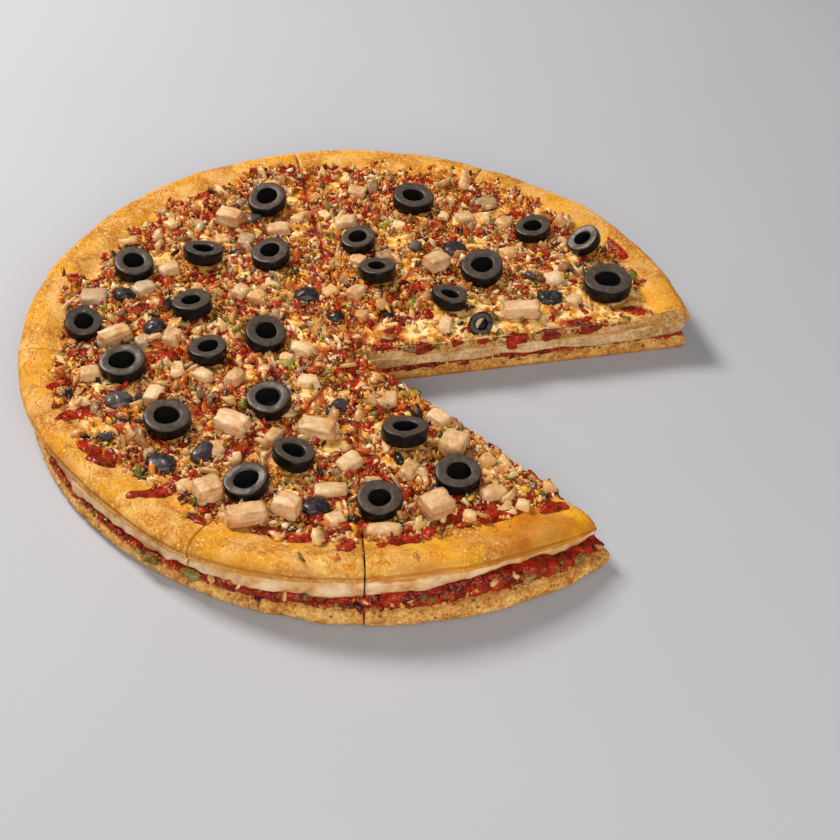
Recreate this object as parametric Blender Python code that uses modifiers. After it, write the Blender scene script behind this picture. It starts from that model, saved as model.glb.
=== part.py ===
"""Pan pizza with two crusts: a bottom crust, sauce, cheese and a topped upper crust.

The round is cut into slices that meet at one crossing, and the slice at the right is taken out.
Each layer is one turned disc, warped to the true heights of the food and cut into slices.
Metres, +Z up. The origin is the centre of the round on the surface that it rests on.
"""

import math
import random

import bmesh
import bpy
import numpy as np
from mathutils import Matrix, Vector
from mathutils.bvhtree import BVHTree

MM = 0.001

# Round
BOX_SHIFT = (1.2 * MM, -2.3 * MM, 0)
TURNED_RADIUS = 152 * MM
SHARED_RADIUS = 141 * MM
UPPER_RADIUS = 155.2 * MM
UPPER_CENTRE = (0.4 * MM, 3.6 * MM)
LOWER_RADIUS = 153.2 * MM
LOWER_CENTRE = (3.5 * MM, -0.8 * MM)
TURN_STEPS = 50

# Cuts: the crossing, and each slice between two bearings in degrees
CROSSING = (-3.5 * MM, -10.5 * MM)
SLICES = {
    "right": (16.0, 70.5),
    "back": (70.5, 105.5),
    "left": (105.5, 186.7),
    "front_left": (186.7, 246.8),
    "front": (246.8, 276.0),
    "front_right": (276.0, 318.2),
}
KERF = 0.7 * MM
CUTTER_REACH = 260 * MM
CUTTER_HEIGHT = 80 * MM

# Heights of the layers away from the rim, and how far the rim swells
CRUST_THICK = 6.5 * MM
SAUCE_THICK = 2.6 * MM
CHEESE_THICK = 5.0 * MM
LID_THICK = 5.6 * MM
CRUST_SWELL = 0.6 * MM
SAUCE_SWELL = 0.5 * MM
CHEESE_SWELL = 0.6 * MM
SWELL_REACH = 22 * MM
GAP = 0.35 * MM

# Soft unevenness of each surface: seed, height, length of the waves
CRUST_WAVES = (1, 0.3 * MM, 110 * MM)
SAUCE_WAVES = (2, 0.4 * MM, 90 * MM)
CHEESE_WAVES = (3, 0.4 * MM, 95 * MM)
LID_WAVES = (4, 0.5 * MM, 60 * MM)
WAVE_COUNT = 4

# Round the side the sauce is now thick, now thin: height of those waves, and two counts round the rim
SIDE_WAVE = 0.6 * MM
SIDE_WAVE_COUNTS = (9, 14)

# How far the filling sits in from the edges of the crusts, and its small ins and outs
SAUCE_INSET = 1.8 * MM
CHEESE_INSET = 1.4 * MM
EDGE_WOBBLE = 0.5 * MM
SAUCE_WOBBLES = 17
CHEESE_WOBBLES = 13

# The front of the round is puffed up by its filling, and its upper crust sits back a little
PUFF_BEARING = 278
PUFF_HALF_WIDTH = 42
PUFF_CRUST = 1.4 * MM
PUFF_SAUCE = 3.6 * MM
PUFF_CHEESE = 1.6 * MM
SETBACK_BEARING = 314
SETBACK_HALF_WIDTH = 50
LID_SETBACK = 5.5 * MM
LEFT_SETBACK_BEARING = 226
LEFT_SETBACK_HALF_WIDTH = 28
LEFT_LID_SETBACK = 3.5 * MM
CHEESE_SETBACK = 4.0 * MM
SAUCE_SETBACK = 2.5 * MM

# At one stretch of the front the sauce is deep and the cheese over it thin
POOL_BEARING = 297
POOL_HALF_WIDTH = 20
POOL_DEPTH = 4.0 * MM

# The outer corner beside the front end of the gap sags
SAG_BEARING = 322
SAG_HALF_WIDTH = 24
SAG_SAUCE = 1.0 * MM
SAG_CHEESE = 3.6 * MM
SAG_LID = 2.6 * MM

# Rim of the upper crust: wide at the front, narrow at the back. It climbs from its foot to its crest,
# both as shares of its width in from the edge.
RIM_RISE = 2.4 * MM
RIM_WIDTH = 15.8 * MM
RIM_WIDTH_SHIFT = 4.0 * MM
RIM_FOOT = 1.15
RIM_CREST = 0.5

# Olive rings: x, y, outer diameter in mm, tilt and the bearing that the ring leans to in degrees
OLIVE_RINGS = (
    (-56, 98, 19, 12, 250), (-112, 38, 19, 7, 280), (-81, 50, 18.5, 14, 60), (-49, 54, 19, 6, 200),
    (17, 108, 20, 8, 300), (-8, 71, 16.5, 9, 240), (3, 46, 18, 12, 120), (78, 89, 17.5, 10, 200),
    (53, 53, 20.5, 9, 265), (38, 29, 16.5, 11, 30), (113, 47, 22.5, 8, 250), (-80, 11, 18.5, 7, 140),
    (-44, -8, 19, 9, 310), (-68, -21, 17.5, 6, 100), (-103, -35, 20, 7, 270), (-78, -68, 19.5, 8, 285),
    (-37, -52, 19, 9, 240), (-23, -85, 18, 12, 45), (-40, -103, 18, 10, 210), (14, -109, 18, 8, 275),
    (22, -67, 19.5, 13, 90), (45, -90, 18.5, 9, 260), (-126, -10, 17, 16, 330), (103, 79, 16, 34, 205),
    (53, 10, 11, 58, 275),
)
RING_HOLE = 0.54
RING_HEIGHT = 0.34
RING_BULGE = 0.09
RING_STEPS = 12

# Pieces of topping: x, y, length, width, height in mm and turn in degrees
CHICKEN_CHUNKS = (
    (-111, -15, 15, 8, 7, 40), (72, 25, 18, 8, 7, 8), (-51, -66, 15, 9, 7, -24), (-15, -66, 16, 9, 6, -12),
    (-55, -108, 11, 10, 8, 30), (-38, -121, 16, 9, 7, 20), (-22, -115, 11, 9, 8, -20),
    (37, -108, 13, 11, 8, 35), (43, -71, 12, 11, 8, 70), (31, 58, 12, 9, 7, 40), (-73, 83, 13, 9, 7, -15),
)
FUSED_CHICKEN = (
    (-96, 41, 11, 7, 6, 40), (-48, 79, 12, 8, 6, 10), (-86, -10, 10, 8, 6, 75), (-117, -39, 9, 8, 6, 20),
    (-60, 27, 9, 8, 6, 55), (-68, -35, 9, 7, 6, -30), (-54, -35, 10, 7, 6, 65), (-87, -50, 10, 8, 6, 80),
    (-16, 89, 11, 8, 6, 20), (-12, 117, 10, 7, 5, -15), (44, 99, 10, 7, 6, 25), (64, 97, 8, 8, 6, 45),
    (-27, -13, 11, 7, 6, -20), (37, 12, 11, 6, 6, 85), (-22, -34, 10, 7, 5, 15), (88, 53, 9, 8, 6, 30),
    (97, 37, 8, 7, 5, 60), (-57, -80, 9, 7, 5, 30), (0, -84, 11, 8, 6, 50), (-6, -101, 14, 7, 6, 10),
    (-3, -118, 8, 8, 6, 30), (36, -52, 10, 7, 5, -40), (12, -43, 12, 9, 5, 10), (17, -123, 14, 7, 6, 5),
    (25, -86, 9, 7, 6, 60), (60, -96, 11, 7, 6, 20), (-6, 33, 9, 7, 6, 60), (-33, -70, 9, 6, 5, 65),
)
FUSED_MUSHROOM = (
    (-126, 14, 13, 11, 6, 10), (-105, 24, 11, 8, 6, 50), (54, 113, 12, 8, 6, 15), (6, 62, 9, 8, 6, 30),
    (-63, 68, 9, 8, 5, 80), (-98, -14, 8, 6, 5, 35),
)
FUSED_OLIVE_ENDS = (
    (86, 38, 12, 9, 6, 20), (-95, -4, 11, 9, 6, 60), (-102, -55, 12, 10, 6, 10), (-77, -91, 13, 10, 5, 0),
    (-61, -83, 12, 8, 7, 70), (-11, -111, 12, 9, 6, 20), (-8, -51, 12, 7, 6, 60), (39, 73, 12, 9, 5, 15),
    (20, 73, 8, 6, 5, 70), (-113, 18, 10, 8, 6, 30), (-29, 28, 12, 9, 6, 15), (-97, -69, 7, 6, 4, 0),
)
SUNK_SHARE = 0.3
LUMP_UNEVENNESS = (0.88, 1.1)
FUSED_SQUARENESS = 0.5
CHUNK_SQUARENESS = 0.6

# Small morsels between them, by a seeded rule: how many, their size, their height as a share of it,
# how high their middle lies, how far out they lie and the room that each keeps
MORSEL_COUNT = 32
MORSEL_SIZE = (5.0 * MM, 8.0 * MM)
MORSEL_FLATNESS = 0.7
MORSEL_LIFT = 0.15
MORSEL_REACH = 128 * MM
MORSEL_ROOM = 0.45
MORSEL_SEED = 11

# Colours, roughness
LOOKS = {
    "lower_crust": ((0.74, 0.50, 0.24), 0.80),
    "sauce": ((0.42, 0.04, 0.02), 0.35),
    "cheese": ((0.90, 0.80, 0.60), 0.40),
    "upper_crust": ((0.80, 0.48, 0.15), 0.70),
    "olive_ring": ((0.02, 0.02, 0.02), 0.30),
    "chicken": ((0.78, 0.60, 0.40), 0.55),
}


def bump(bearing, middle, half_width):
    """A smooth hump of height 1 round the bearing middle, nothing past half_width degrees from it."""
    away = np.abs((np.degrees(bearing) - middle + 180) % 360 - 180)
    return np.cos(np.clip(away / half_width, 0, 1) * math.pi / 2) ** 2


def waves(x, y, seed, height, length):
    """Soft unevenness up to a height: a few sine waves of about the given length, crossing at random."""
    draw = random.Random(seed)
    total = np.zeros_like(x)
    for _ in range(WAVE_COUNT):
        heading = draw.uniform(0, math.tau)
        pitch = length * draw.uniform(0.75, 1.35)
        phase = draw.uniform(0, math.tau)
        total += np.sin(math.tau * (x * math.cos(heading) + y * math.sin(heading)) / pitch + phase)
    return height * total / WAVE_COUNT


def edge_of(centre, radius, bearing):
    """Distance from the origin to a circle's edge along a bearing, for a centre close to the origin."""
    along = centre[0] * np.cos(bearing) + centre[1] * np.sin(bearing)
    return radius + along


def lower_edge(bearing):
    return edge_of(LOWER_CENTRE, LOWER_RADIUS, bearing)


def upper_edge(bearing):
    back = LID_SETBACK * bump(bearing, SETBACK_BEARING, SETBACK_HALF_WIDTH)
    back += LEFT_LID_SETBACK * bump(bearing, LEFT_SETBACK_BEARING, LEFT_SETBACK_HALF_WIDTH)
    return edge_of(UPPER_CENTRE, UPPER_RADIUS, bearing) - back


def sauce_edge(bearing):
    back = SAUCE_INSET + SAUCE_SETBACK * bump(bearing, SETBACK_BEARING, SETBACK_HALF_WIDTH)
    return lower_edge(bearing) - back + EDGE_WOBBLE * np.sin(SAUCE_WOBBLES * bearing)


def cheese_edge(bearing):
    back = CHEESE_INSET + CHEESE_SETBACK * bump(bearing, SETBACK_BEARING, SETBACK_HALF_WIDTH)
    between = 0.5 * (lower_edge(bearing) + upper_edge(bearing))
    return between - back + EDGE_WOBBLE * np.sin(CHEESE_WOBBLES * bearing + 1)


def layer_heights(x, y):
    """Heights of the four surfaces at a place: on the bottom crust, the sauce, the cheese and the lid."""
    bearing = np.arctan2(y, x)
    inward = np.maximum(TURNED_RADIUS - np.hypot(x, y), 0)
    swell = np.exp(-((inward / SWELL_REACH) ** 2))
    puff = bump(bearing, PUFF_BEARING, PUFF_HALF_WIDTH)
    sag = bump(bearing, SAG_BEARING, SAG_HALF_WIDTH)
    slow, quick = SIDE_WAVE_COUNTS
    side_wave = SIDE_WAVE * (np.sin(slow * bearing + 0.4) + 0.6 * np.sin(quick * bearing + 2.0))
    crust = CRUST_THICK + swell * (CRUST_SWELL + PUFF_CRUST * puff) + waves(x, y, *CRUST_WAVES)
    pool = POOL_DEPTH * bump(bearing, POOL_BEARING, POOL_HALF_WIDTH)
    sauce_swell = SAUCE_SWELL + PUFF_SAUCE * puff - SAG_SAUCE * sag + side_wave + pool
    sauce = crust + SAUCE_THICK + swell * sauce_swell + waves(x, y, *SAUCE_WAVES)
    cheese_swell = CHEESE_SWELL + PUFF_CHEESE * puff - SAG_CHEESE * sag - 0.6 * side_wave - 0.8 * pool
    cheese = sauce + CHEESE_THICK + swell * cheese_swell + waves(x, y, *CHEESE_WAVES)
    width = RIM_WIDTH - RIM_WIDTH_SHIFT * np.sin(bearing)
    climb = np.clip((RIM_FOOT - inward / width) / (RIM_FOOT - RIM_CREST), 0, 1)
    rise = RIM_RISE * climb * climb * (3 - 2 * climb)
    lid = cheese + LID_THICK + rise - SAG_LID * sag * swell + waves(x, y, *LID_WAVES)
    return crust, sauce, cheese, lid


# Each layer: its edge, the surfaces under and over it, and its outline as turned, from the middle of
# the upper face out and down to the middle of the lower face. A point is a distance in from the edge
# in mm and a level from 0, on the lower surface, to 1, on the upper one. The flat underside of the
# round needs no points between its edge and its middle.
STATIONS = (152, 80, 42, 21, 7)
LAYERS = {
    "lower_crust": (lower_edge, None, 0, ((3.5, 1), (1.0, 0.88), (0, 0.5), (0.9, 0.12), (3.0, 0))),
    "sauce": (sauce_edge, 0, 1, ((2.0, 1), (0.2, 0.75), (0, 0.3), (1.4, 0))),
    "cheese": (cheese_edge, 1, 2, ((2.0, 1), (0.3, 0.8), (0, 0.35), (1.6, 0))),
    "upper_crust": (upper_edge, 2, 3, ((4.2, 0.93), (1.4, 0.68), (0, 0.36), (0.8, 0.1), (3.5, 0))),
}


def collection(name, hidden=False):
    group = bpy.data.collections.new(name)
    bpy.context.scene.collection.children.link(group)
    group.hide_render = hidden
    return group


def material(name):
    colour, roughness = LOOKS[name]
    made = bpy.data.materials.get(name) or bpy.data.materials.new(name)
    made.use_nodes = True
    shader = made.node_tree.nodes["Principled BSDF"]
    shader.inputs["Base Color"].default_value = (*colour, 1)
    shader.inputs["Roughness"].default_value = roughness
    shader.inputs["Metallic"].default_value = 0
    return made


def object_from(name, mesh, group):
    made = bpy.data.objects.new(name, mesh)
    group.objects.link(made)
    return made


def drop_object(made):
    mesh = made.data
    bpy.data.objects.remove(made)
    bpy.data.meshes.remove(mesh)


def evaluated_mesh(made):
    """The object's mesh with its modifiers worked in."""
    bpy.context.view_layer.update()
    seen = made.evaluated_get(bpy.context.evaluated_depsgraph_get())
    return bpy.data.meshes.new_from_object(seen)


def largest_body(mesh):
    """Drops loose scraps, so that the mesh is one closed body."""
    shape = bmesh.new()
    shape.from_mesh(mesh)
    left = set(shape.verts)
    bodies = []
    while left:
        reached = {left.pop()}
        front = list(reached)
        while front:
            vertex = front.pop()
            for edge in vertex.link_edges:
                other = edge.other_vert(vertex)
                if other in left:
                    left.discard(other)
                    reached.add(other)
                    front.append(other)
        bodies.append(reached)
    bodies.sort(key=len, reverse=True)
    scraps = [vertex for body in bodies[1:] for vertex in body]
    bmesh.ops.delete(shape, geom=scraps, context="VERTS")
    shape.to_mesh(mesh)
    shape.free()


def combine(made, operation, other=None, group=None, solver="EXACT"):
    """Applies one Boolean of an object, or of a whole collection, to a mesh object."""
    cut = made.modifiers.new("Combine", "BOOLEAN")
    cut.operation = operation
    cut.solver = solver
    if group is not None:
        cut.operand_type = "COLLECTION"
        cut.collection = group
    else:
        cut.object = other
    mesh = evaluated_mesh(made)
    made.modifiers.clear()
    before = made.data
    made.data = mesh
    bpy.data.meshes.remove(before)
    largest_body(mesh)


def turned_disc(name, group):
    """A layer's whole disc: its outline turned about Z, with its level as height, then warped."""
    edge, under, over, rim = LAYERS[name]
    top = [(inward, 1) for inward in STATIONS]
    bottom = [(inward, 0) for inward in reversed(STATIONS)]
    if under is None:
        bottom = bottom[-1:]
    outline = top + list(rim) + bottom
    points = [(TURNED_RADIUS - inward * MM, 0, level * MM) for inward, level in outline]
    mesh = bpy.data.meshes.new(name)
    mesh.from_pydata(points, [(i, i + 1) for i in range(len(points) - 1)], [])
    disc = object_from(name, mesh, group)
    screw = disc.modifiers.new("Turn", "SCREW")
    screw.steps = TURN_STEPS
    screw.render_steps = TURN_STEPS
    screw.use_merge_vertices = True
    screw.merge_threshold = 0.00001
    disc.data = evaluated_mesh(disc)
    disc.modifiers.clear()
    bpy.data.meshes.remove(mesh)
    warp(disc.data, edge, under, over)
    return disc


def warp(mesh, edge, under, over):
    """Moves a turned disc's points to the layer's edge and between its lower and upper surfaces."""
    points = np.empty(len(mesh.vertices) * 3)
    mesh.vertices.foreach_get("co", points)
    points = points.reshape(-1, 3)
    radius = np.hypot(points[:, 0], points[:, 1])
    bearing = np.arctan2(points[:, 1], points[:, 0])
    level = points[:, 2] / MM
    beyond = np.maximum(radius - SHARED_RADIUS, 0) / (TURNED_RADIUS - SHARED_RADIUS)
    moved = radius + beyond * (edge(bearing) - TURNED_RADIUS)
    x = moved * np.cos(bearing)
    y = moved * np.sin(bearing)
    surfaces = layer_heights(x, y)
    low = np.zeros_like(x) if under is None else surfaces[under] + GAP
    high = surfaces[over]
    points[:, 0] = x
    points[:, 1] = y
    points[:, 2] = low + level * (high - low)
    mesh.vertices.foreach_set("co", points.ravel())
    mesh.update()


def wedge_cutter(name, bearings, group):
    """A flat wedge between two cuts, half a kerf inside each, made solid."""
    start, end = (math.radians(b) for b in bearings)
    middle = 0.5 * (start + end)
    tip = KERF / 2 / math.sin(0.5 * (end - start))
    apex = Vector((CROSSING[0] + tip * math.cos(middle), CROSSING[1] + tip * math.sin(middle), 0))
    corners = [apex]
    for bearing in (start, middle, end):
        corners.append(apex + CUTTER_REACH * Vector((math.cos(bearing), math.sin(bearing), 0)))
    curve = bpy.data.curves.new(name, "CURVE")
    curve.dimensions = "2D"
    curve.fill_mode = "BOTH"
    curve.extrude = CUTTER_HEIGHT / 2
    line = curve.splines.new("POLY")
    line.points.add(len(corners) - 1)
    for point, corner in zip(line.points, corners):
        point.co = (*corner, 1)
    line.use_cyclic_u = True
    flat = bpy.data.objects.new(name, curve)
    group.objects.link(flat)
    mesh = evaluated_mesh(flat)
    bpy.data.objects.remove(flat)
    bpy.data.curves.remove(curve)
    shape = bmesh.new()
    shape.from_mesh(mesh)
    bmesh.ops.remove_doubles(shape, verts=shape.verts, dist=0.00001)
    bmesh.ops.recalc_face_normals(shape, faces=shape.faces)
    shape.to_mesh(mesh)
    shape.free()
    cutter = object_from(name, mesh, group)
    cutter.hide_render = True
    cutter.display_type = "WIRE"
    return cutter


def lid_height(x, y):
    return float(layer_heights(np.array([x]), np.array([y]))[3][0])


def lump_mesh(name, size, seed, square=FUSED_SQUARENESS, divisions=1):
    """An uneven lump: a sphere pressed towards a block, its points moved a little at random."""
    draw = random.Random(seed)
    shape = bmesh.new()
    bmesh.ops.create_icosphere(shape, subdivisions=divisions, radius=1)
    for vertex in shape.verts:
        push = vertex.co / max(abs(c) for c in vertex.co)
        vertex.co = vertex.co.lerp(push, square) * draw.uniform(*LUMP_UNEVENNESS)
        vertex.co = Vector([c * s / 2 for c, s in zip(vertex.co, size)])
    mesh = bpy.data.meshes.new(name)
    shape.to_mesh(mesh)
    shape.free()
    return mesh


def place(mesh, x, y, turn, height):
    """Turns a mesh about Z, tips it a little with the slope of the lid and lifts it to a height."""
    step = 4 * MM
    slope_x = (lid_height(x + step, y) - lid_height(x - step, y)) / (2 * step)
    slope_y = (lid_height(x, y + step) - lid_height(x, y - step)) / (2 * step)
    upright = Vector((-slope_x, -slope_y, 1)).normalized()
    tip = Vector((0, 0, 1)).rotation_difference(upright).to_matrix().to_4x4()
    spin = Matrix.Rotation(math.radians(turn), 4, "Z")
    mesh.transform(Matrix.Translation((x, y, height)) @ tip @ spin)


def fused_pieces(group):
    """The smaller toppings, sunk into the lid: chicken, mushroom and olive ends, then small morsels."""
    pieces = []
    for seed, piece in enumerate(FUSED_CHICKEN + FUSED_MUSHROOM + FUSED_OLIVE_ENDS):
        x, y, *size = (v * MM for v in piece[:5])
        mesh = lump_mesh("topping", size, seed)
        place(mesh, x, y, piece[5], lid_height(x, y) + (0.5 - SUNK_SHARE) * size[2])
        pieces.append((x, y, max(size) / 2))
        object_from("topping", mesh, group)
    taken = pieces + [(x * MM, y * MM, d * MM / 2) for x, y, d, *_ in OLIVE_RINGS]
    taken += [(x * MM, y * MM, length * MM / 2) for x, y, length, *_ in CHICKEN_CHUNKS]
    draw = random.Random(MORSEL_SEED)
    made = 0
    while made < MORSEL_COUNT:
        reach = MORSEL_REACH * math.sqrt(draw.random())
        bearing = draw.uniform(0, math.tau)
        size = [draw.uniform(*MORSEL_SIZE) for _ in range(3)]
        turn = draw.uniform(0, 180)
        x, y = reach * math.cos(bearing), reach * math.sin(bearing)
        room = min(math.hypot(x - a, y - b) - r for a, b, r in taken)
        if room < MORSEL_ROOM * max(size):
            continue
        mesh = lump_mesh("morsel", (size[0], size[1], MORSEL_FLATNESS * size[2]), 1000 + made)
        place(mesh, x, y, turn, lid_height(x, y) + MORSEL_LIFT * size[2])
        object_from("morsel", mesh, group)
        taken.append((x, y, max(size) / 2))
        made += 1


def edge_samples(mesh, count=4):
    """Points along every edge of a mesh."""
    samples = []
    for edge in mesh.edges:
        a, b = (mesh.vertices[i].co for i in edge.vertices)
        samples += [a.lerp(b, i / count) for i in range(count)]
    return samples


def tree_of(meshes):
    """One search tree over the faces of several meshes."""
    points, faces = [], []
    for mesh in meshes:
        first = len(points)
        points += [v.co.copy() for v in mesh.vertices]
        faces += [[first + i for i in face.vertices] for face in mesh.polygons]
    return BVHTree.FromPolygons(points, faces)


def settle(mesh, ground, ground_samples):
    """Lowers a topping from above until it all but touches what lies under it."""
    tree, own = tree_of(ground), tree_of([mesh])
    down, up = Vector((0, 0, -1)), Vector((0, 0, 1))
    top = max(v.co.z for v in mesh.vertices) + 0.1
    lift = -1.0
    for sample in edge_samples(mesh):
        hit = tree.ray_cast(Vector((sample.x, sample.y, top)), down)[0]
        if hit is not None:
            lift = max(lift, hit.z - sample.z)
    centre = sum((v.co for v in mesh.vertices), Vector()) / len(mesh.vertices)
    reach = max((v.co - centre).length for v in mesh.vertices)
    for sample in ground_samples:
        if math.hypot(sample.x - centre.x, sample.y - centre.y) < reach:
            hit = own.ray_cast(Vector((sample.x, sample.y, -0.1)), up)[0]
            if hit is not None:
                lift = max(lift, sample.z - hit.z)
    mesh.transform(Matrix.Translation((0, 0, lift + GAP)))


def ring_mesh(name, diameter, group):
    """A slice of olive: a closed outline turned about Z, round outside and flat where it was cut."""
    outer = diameter / 2
    inner = RING_HOLE * outer
    half = RING_HEIGHT * diameter / 2
    outline = (
        (outer * (1 - RING_BULGE), 0, half),
        (outer, 0, 0),
        (outer * (1 - RING_BULGE), 0, -half),
        (inner, 0, -half),
        (inner, 0, half),
    )
    mesh = bpy.data.meshes.new(name)
    mesh.from_pydata(outline, [(i, (i + 1) % len(outline)) for i in range(len(outline))], [])
    ring = object_from(name, mesh, group)
    screw = ring.modifiers.new("Turn", "SCREW")
    screw.steps = RING_STEPS
    screw.render_steps = RING_STEPS
    screw.use_merge_vertices = True
    screw.merge_threshold = 0.00001
    turned = evaluated_mesh(ring)
    drop_object(ring)
    return turned


def finish_mesh(mesh, name):
    """Gives a mesh its material, its name and smooth shading with sharp edges kept."""
    kind = next(k for k in LOOKS if name.startswith(k))
    mesh.name = name
    mesh.materials.clear()
    mesh.materials.append(material(kind))
    mesh.shade_smooth()
    mesh.set_sharp_from_angle(angle=math.radians(40))


def build_layers(food, scratch):
    """Turns the four layers, fuses the small toppings to the lid and cuts every layer into slices."""
    # The exact solver empties some slices of the lid once the small toppings are fused to it
    solvers = {"upper_crust": "MANIFOLD"}
    toppings = collection("Small toppings", hidden=True)
    fused_pieces(toppings)
    discs = {name: turned_disc(name, scratch) for name in LAYERS}
    combine(discs["upper_crust"], "UNION", group=toppings)
    for piece in list(toppings.objects):
        drop_object(piece)
    bpy.data.collections.remove(toppings)
    for side, bearings in SLICES.items():
        cutter = wedge_cutter("wedge_" + side, bearings, scratch)
        for layer, disc in discs.items():
            piece = object_from(f"{layer}_{side}", disc.data.copy(), food)
            combine(piece, "INTERSECT", other=cutter, solver=solvers.get(layer, "EXACT"))
            finish_mesh(piece.data, piece.name)
        drop_object(cutter)
    lid = discs.pop("upper_crust")
    for disc in discs.values():
        drop_object(disc)
    return lid


def build_toppings(food, scratch, lid):
    """Sets the larger toppings down on the lid, the chunks first and the olive rings over them."""
    ground = [lid.data]
    samples = edge_samples(lid.data)
    placed = []
    for count, piece in enumerate(CHICKEN_CHUNKS, 1):
        x, y, *size = (v * MM for v in piece[:5])
        mesh = lump_mesh("chunk", size, 500 + count, square=CHUNK_SQUARENESS, divisions=2)
        place(mesh, x, y, piece[5], 2 * lid_height(x, y))
        placed.append((f"chicken_chunk_{count:02d}", mesh))
    for count, (x, y, diameter, tilt, lean) in enumerate(OLIVE_RINGS, 1):
        mesh = ring_mesh("ring", diameter * MM, scratch)
        axis = Vector((-math.sin(math.radians(lean)), math.cos(math.radians(lean)), 0))
        mesh.transform(Matrix.Rotation(math.radians(tilt), 4, axis))
        mesh.transform(Matrix.Translation((x * MM, y * MM, 2 * lid_height(x * MM, y * MM))))
        placed.append((f"olive_ring_{count:02d}", mesh))
    for name, mesh in placed:
        settle(mesh, ground, samples)
        ground.append(mesh)
        samples += edge_samples(mesh)
        finish_mesh(mesh, name)
        object_from(name, mesh, food)


def main():
    for old in list(bpy.data.objects):
        bpy.data.objects.remove(old)
    food = collection("Pan pizza")
    scratch = collection("Cutters", hidden=True)
    lid = build_layers(food, scratch)
    build_toppings(food, scratch, lid)
    drop_object(lid)
    for piece in food.objects:
        piece.data.transform(Matrix.Translation(BOX_SHIFT))


main()
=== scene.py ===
"""Fine surfaces of a pan pizza with two crusts, and the plain stage that it stands on.

The four layers are made again slice by slice with relief, drips and browning, then the olive rings,
the diced chicken and the smaller toppings, the sauce that shows between them, and the crumbs.
Metres, +Z up, the origin at the centre of the round on the surface that it rests on.
"""

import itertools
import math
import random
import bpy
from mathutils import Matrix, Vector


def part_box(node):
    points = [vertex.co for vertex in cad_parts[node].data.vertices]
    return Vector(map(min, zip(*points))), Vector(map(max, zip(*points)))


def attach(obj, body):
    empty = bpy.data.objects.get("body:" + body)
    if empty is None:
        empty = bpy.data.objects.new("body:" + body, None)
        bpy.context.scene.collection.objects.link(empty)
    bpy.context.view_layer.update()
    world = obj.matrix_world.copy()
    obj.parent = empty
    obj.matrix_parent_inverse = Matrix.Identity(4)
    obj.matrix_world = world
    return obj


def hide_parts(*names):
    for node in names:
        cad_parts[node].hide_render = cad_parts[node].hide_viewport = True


bl_info = {
    "name": "Pan Pizza",
    "version": (1, 0, 0),
    "blender": (4, 5, 0),
    "location": "View3D > Sidebar > Pan Pizza",
    "description": "Makes the fine surfaces of a sliced pan pizza with two crusts and its stage",
    "category": "Add Mesh",
}

import bpy
import numpy as np
from bpy.props import FloatProperty, FloatVectorProperty, IntProperty, PointerProperty
from mathutils import Matrix, Vector

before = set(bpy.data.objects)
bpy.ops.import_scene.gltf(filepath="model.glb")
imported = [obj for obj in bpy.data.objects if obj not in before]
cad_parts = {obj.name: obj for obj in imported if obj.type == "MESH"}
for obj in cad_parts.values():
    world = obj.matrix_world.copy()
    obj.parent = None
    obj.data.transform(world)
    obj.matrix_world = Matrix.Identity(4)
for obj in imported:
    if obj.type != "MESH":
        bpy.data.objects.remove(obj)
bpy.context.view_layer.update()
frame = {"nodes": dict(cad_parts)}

MM = 0.001

# Round
BOX_SHIFT = np.array((1.2 * MM, -2.3 * MM, 0))
TURNED_RADIUS = 152 * MM
UPPER_RADIUS = 155.2 * MM
UPPER_CENTRE = (0.4 * MM, 3.6 * MM)
LOWER_RADIUS = 153.2 * MM
LOWER_CENTRE = (3.5 * MM, -0.8 * MM)

# Cuts: the crossing, and each slice between two bearings in degrees
CROSSING = (-3.5 * MM, -10.5 * MM)
SLICES = {
    "right": (16.0, 70.5),
    "back": (70.5, 105.5),
    "left": (105.5, 186.7),
    "front_left": (186.7, 246.8),
    "front": (246.8, 276.0),
    "front_right": (276.0, 318.2),
}
OPEN_SIDES = ("right", "front_right")
KERF = 0.7 * MM

# Heights of the layers away from the rim, and how far the rim swells
CRUST_THICK = 6.5 * MM
SAUCE_THICK = 2.6 * MM
CHEESE_THICK = 5.0 * MM
LID_THICK = 5.6 * MM
CRUST_SWELL = 0.6 * MM
SAUCE_SWELL = 0.5 * MM
CHEESE_SWELL = 0.6 * MM
SWELL_REACH = 22 * MM

# Soft unevenness of each surface: seed, height, length of the waves
CRUST_WAVES = (1, 0.3 * MM, 110 * MM)
SAUCE_WAVES = (2, 0.4 * MM, 90 * MM)
CHEESE_WAVES = (3, 0.4 * MM, 95 * MM)
LID_WAVES = (4, 0.5 * MM, 60 * MM)
WAVE_COUNT = 4
SIDE_WAVE = 0.6 * MM
SIDE_WAVE_COUNTS = (9, 14)

# How far the filling sits in from the edges of the crusts, and its small ins and outs
SAUCE_INSET = 1.8 * MM
CHEESE_INSET = 1.4 * MM
EDGE_WOBBLE = 0.5 * MM
SAUCE_WOBBLES = 17
CHEESE_WOBBLES = 13

# The puffed front, the set-back upper crust, the deep sauce and the sagging corner
PUFF_BEARING = 278
PUFF_HALF_WIDTH = 42
PUFF_CRUST = 1.4 * MM
PUFF_SAUCE = 3.6 * MM
PUFF_CHEESE = 1.6 * MM
SETBACK_BEARING = 314
SETBACK_HALF_WIDTH = 50
LID_SETBACK = 5.5 * MM
LEFT_SETBACK_BEARING = 226
LEFT_SETBACK_HALF_WIDTH = 28
LEFT_LID_SETBACK = 3.5 * MM
CHEESE_SETBACK = 4.0 * MM
SAUCE_SETBACK = 2.5 * MM
POOL_BEARING = 297
POOL_HALF_WIDTH = 20
POOL_DEPTH = 4.0 * MM
SAG_BEARING = 322
SAG_HALF_WIDTH = 24
SAG_SAUCE = 1.0 * MM
SAG_CHEESE = 3.6 * MM
SAG_LID = 2.6 * MM

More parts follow.
